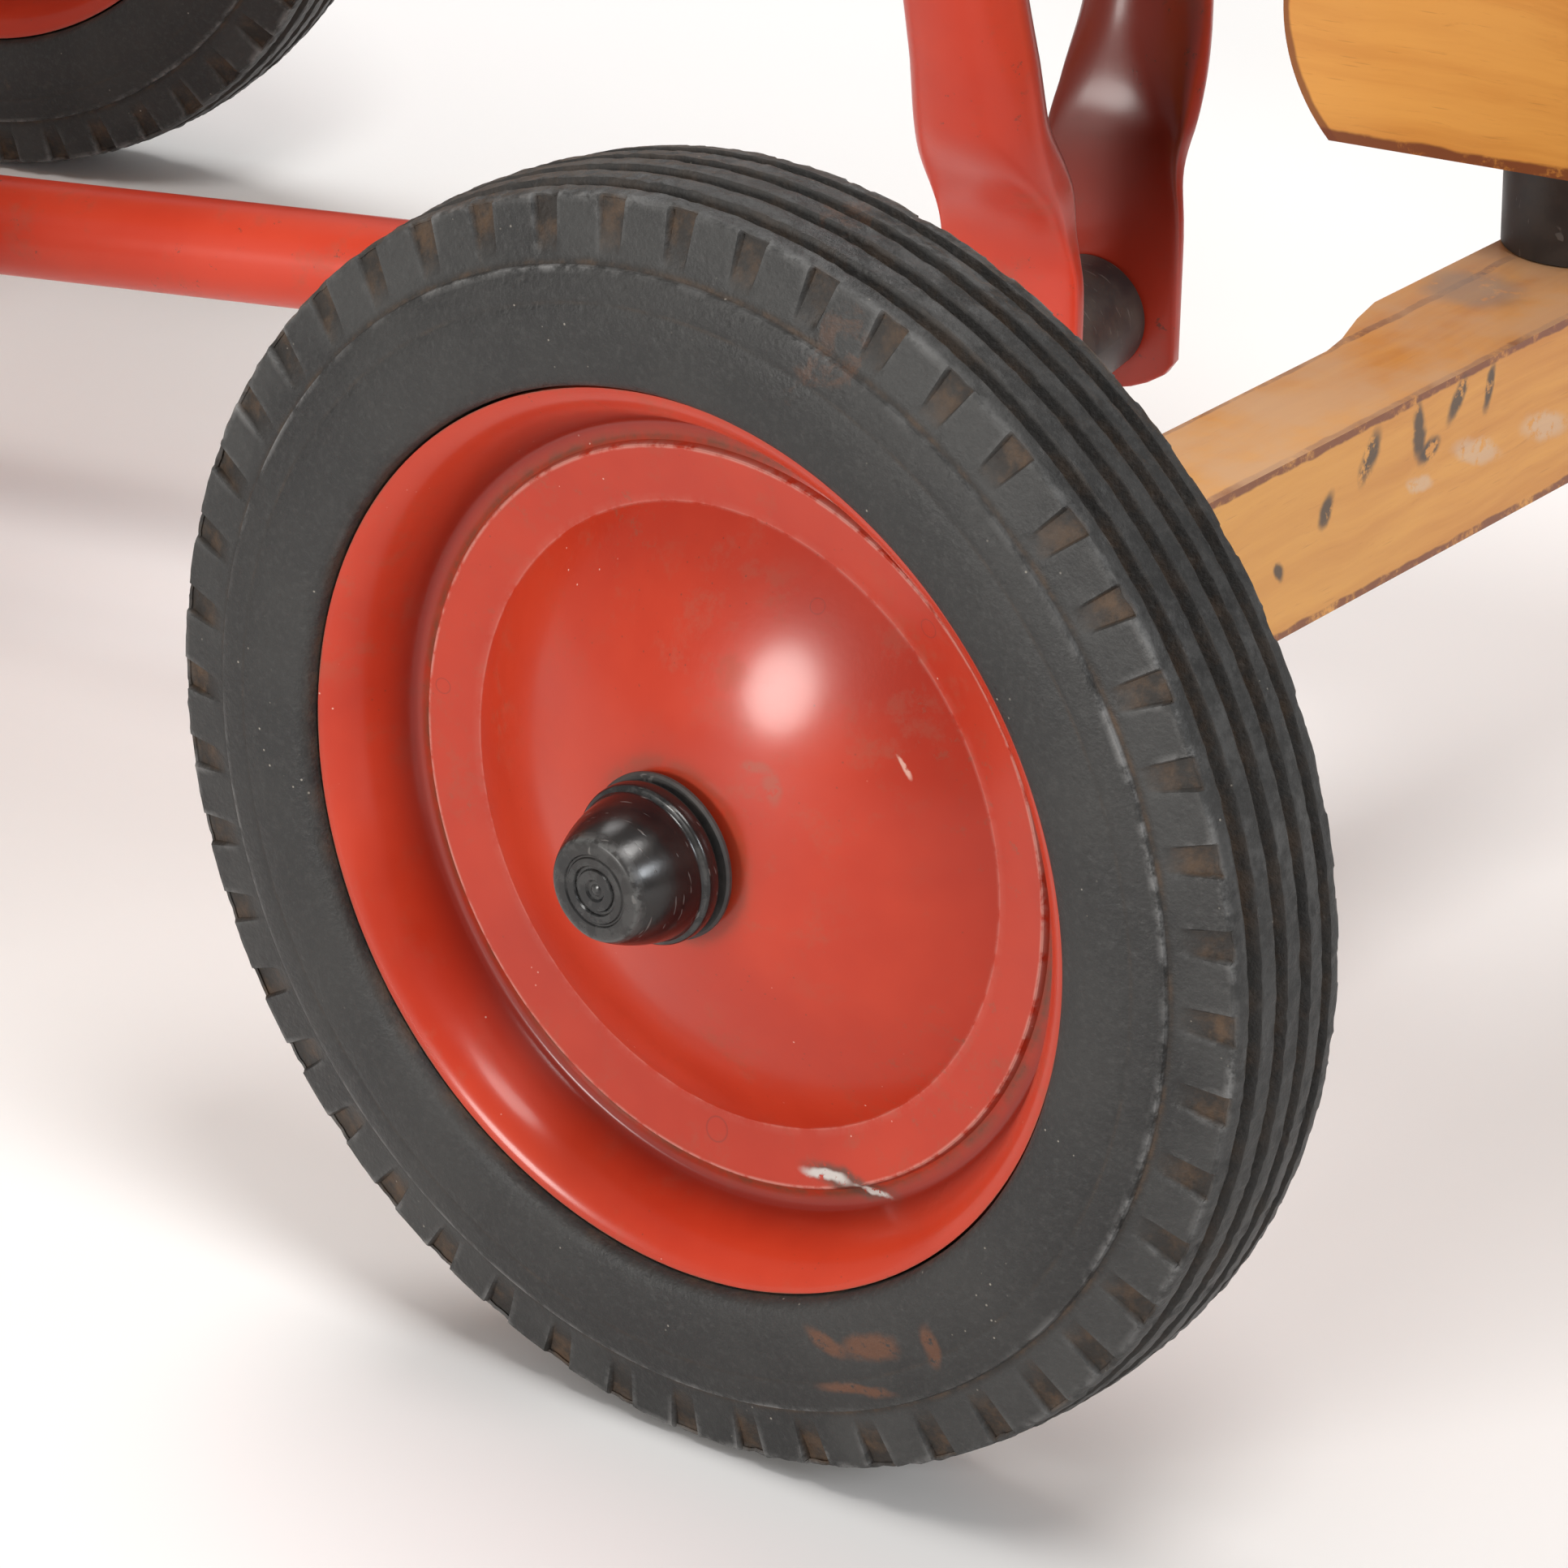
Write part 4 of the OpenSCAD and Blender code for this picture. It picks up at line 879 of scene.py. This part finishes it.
def floor_material():
    """Pale, with a painted light falloff that greys it toward the front right and a painted shadow beside the
    front wheel.
    """
    m = Nodes("studio_floor", Roughness=0.55)
    x, y, z = m.xyz()
    # Painted light falloff: lighter towards the back, greyer towards the front right.
    painted_falloff = m.add(m.mul(y, 0.80), m.mul(x, -0.42))
    tone = m.mix(m.ramp(painted_falloff, -0.45, 0.35), (0.78, 0.765, 0.755), (0.96, 0.957, 0.95))
    # Painted shadow on the floor beside the front wheel.
    shade = m.spot((0.36, -0.36, 0), 0.24, 0.9)
    tone = m.mix(m.mul(shade, 0.6), tone, (0.52, 0.505, 0.50))
    m.to("Base Color", m.mix(m.ramp(m.noise(3, 3), 0.3, 0.7, 0.0, 0.03), tone, (0.6, 0.55, 0.52)))
    m.bump((m.noise(700, 3), 0.02, 0.0005))
    return m.mat


REACH = 6.0
corners = [(-REACH, -REACH, 0), (REACH, -REACH, 0), (REACH, REACH, 0), (-REACH, REACH, 0)]
floor_mesh = bpy.data.meshes.new("studio_floor")
floor_mesh.from_pydata(corners, [], [(0, 1, 2, 3)])
floor = bpy.data.objects.new("studio_floor", floor_mesh)
bpy.context.scene.collection.objects.link(floor)
floor_mesh.materials.append(floor_material())


def area_light(name, at, toward, size, power, colour=(1, 1, 1)):
    d = bpy.data.lights.new(name, "AREA")
    d.energy = power
    d.color = colour
    d.shape = "DISK"
    d.size = size
    o = bpy.data.objects.new(name, d)
    bpy.context.scene.collection.objects.link(o)
    o.visible_camera = False
    o.location = at
    o.rotation_mode = "QUATERNION"
    o.rotation_quaternion = (Vector(toward) - Vector(at)).to_track_quat("-Z", "Y")


area_light("left_softbox", (-0.75, -2.3, 0.60), (0.12, -0.2, 0.12), 0.62, 30, (1.0, 0.975, 0.94))
area_light("top_softbox", (0.85, -0.8, 2.0), (0.12, -0.15, 0.1), 0.8, 22, (1.0, 0.985, 0.965))
area_light("back_softbox", (-0.60, 0.60, 2.0), (0.12, -0.1, 0.05), 1.2, 22, (1.0, 0.99, 0.98))
area_light("right_softbox", (2.07, -0.95, 1.1), (0.17, -0.25, 0.1), 0.6, 15, (0.90, 0.95, 1.0))

world = bpy.data.worlds.new("studio_world")
world.use_nodes = True
background = world.node_tree.nodes["Background"]
background.inputs["Color"].default_value = (1.0, 0.99, 0.98, 1)
background.inputs["Strength"].default_value = 0.40
bpy.context.scene.world = world
bpy.context.scene.view_settings.view_transform = "Standard"

# The camera looks from the front right, from above, over the front right wheel.
camera = bpy.data.cameras.new("camera")
camera.sensor_width = 36
camera.lens = 177.02
camera.clip_start = 0.05
view = bpy.data.objects.new("camera", camera)
bpy.context.scene.collection.objects.link(view)
azimuth, elevation = math.radians(27.039), math.radians(24.728)
pose = Matrix.Rotation(azimuth, 4, "Z") @ Matrix.Rotation(math.pi / 2 - elevation, 4, "X")
pose.translation = Vector((0.43399 + king.x, -1.14549, 0.57933))
view.matrix_world = pose
bpy.context.scene.camera = view

bpy.context.view_layer.update()
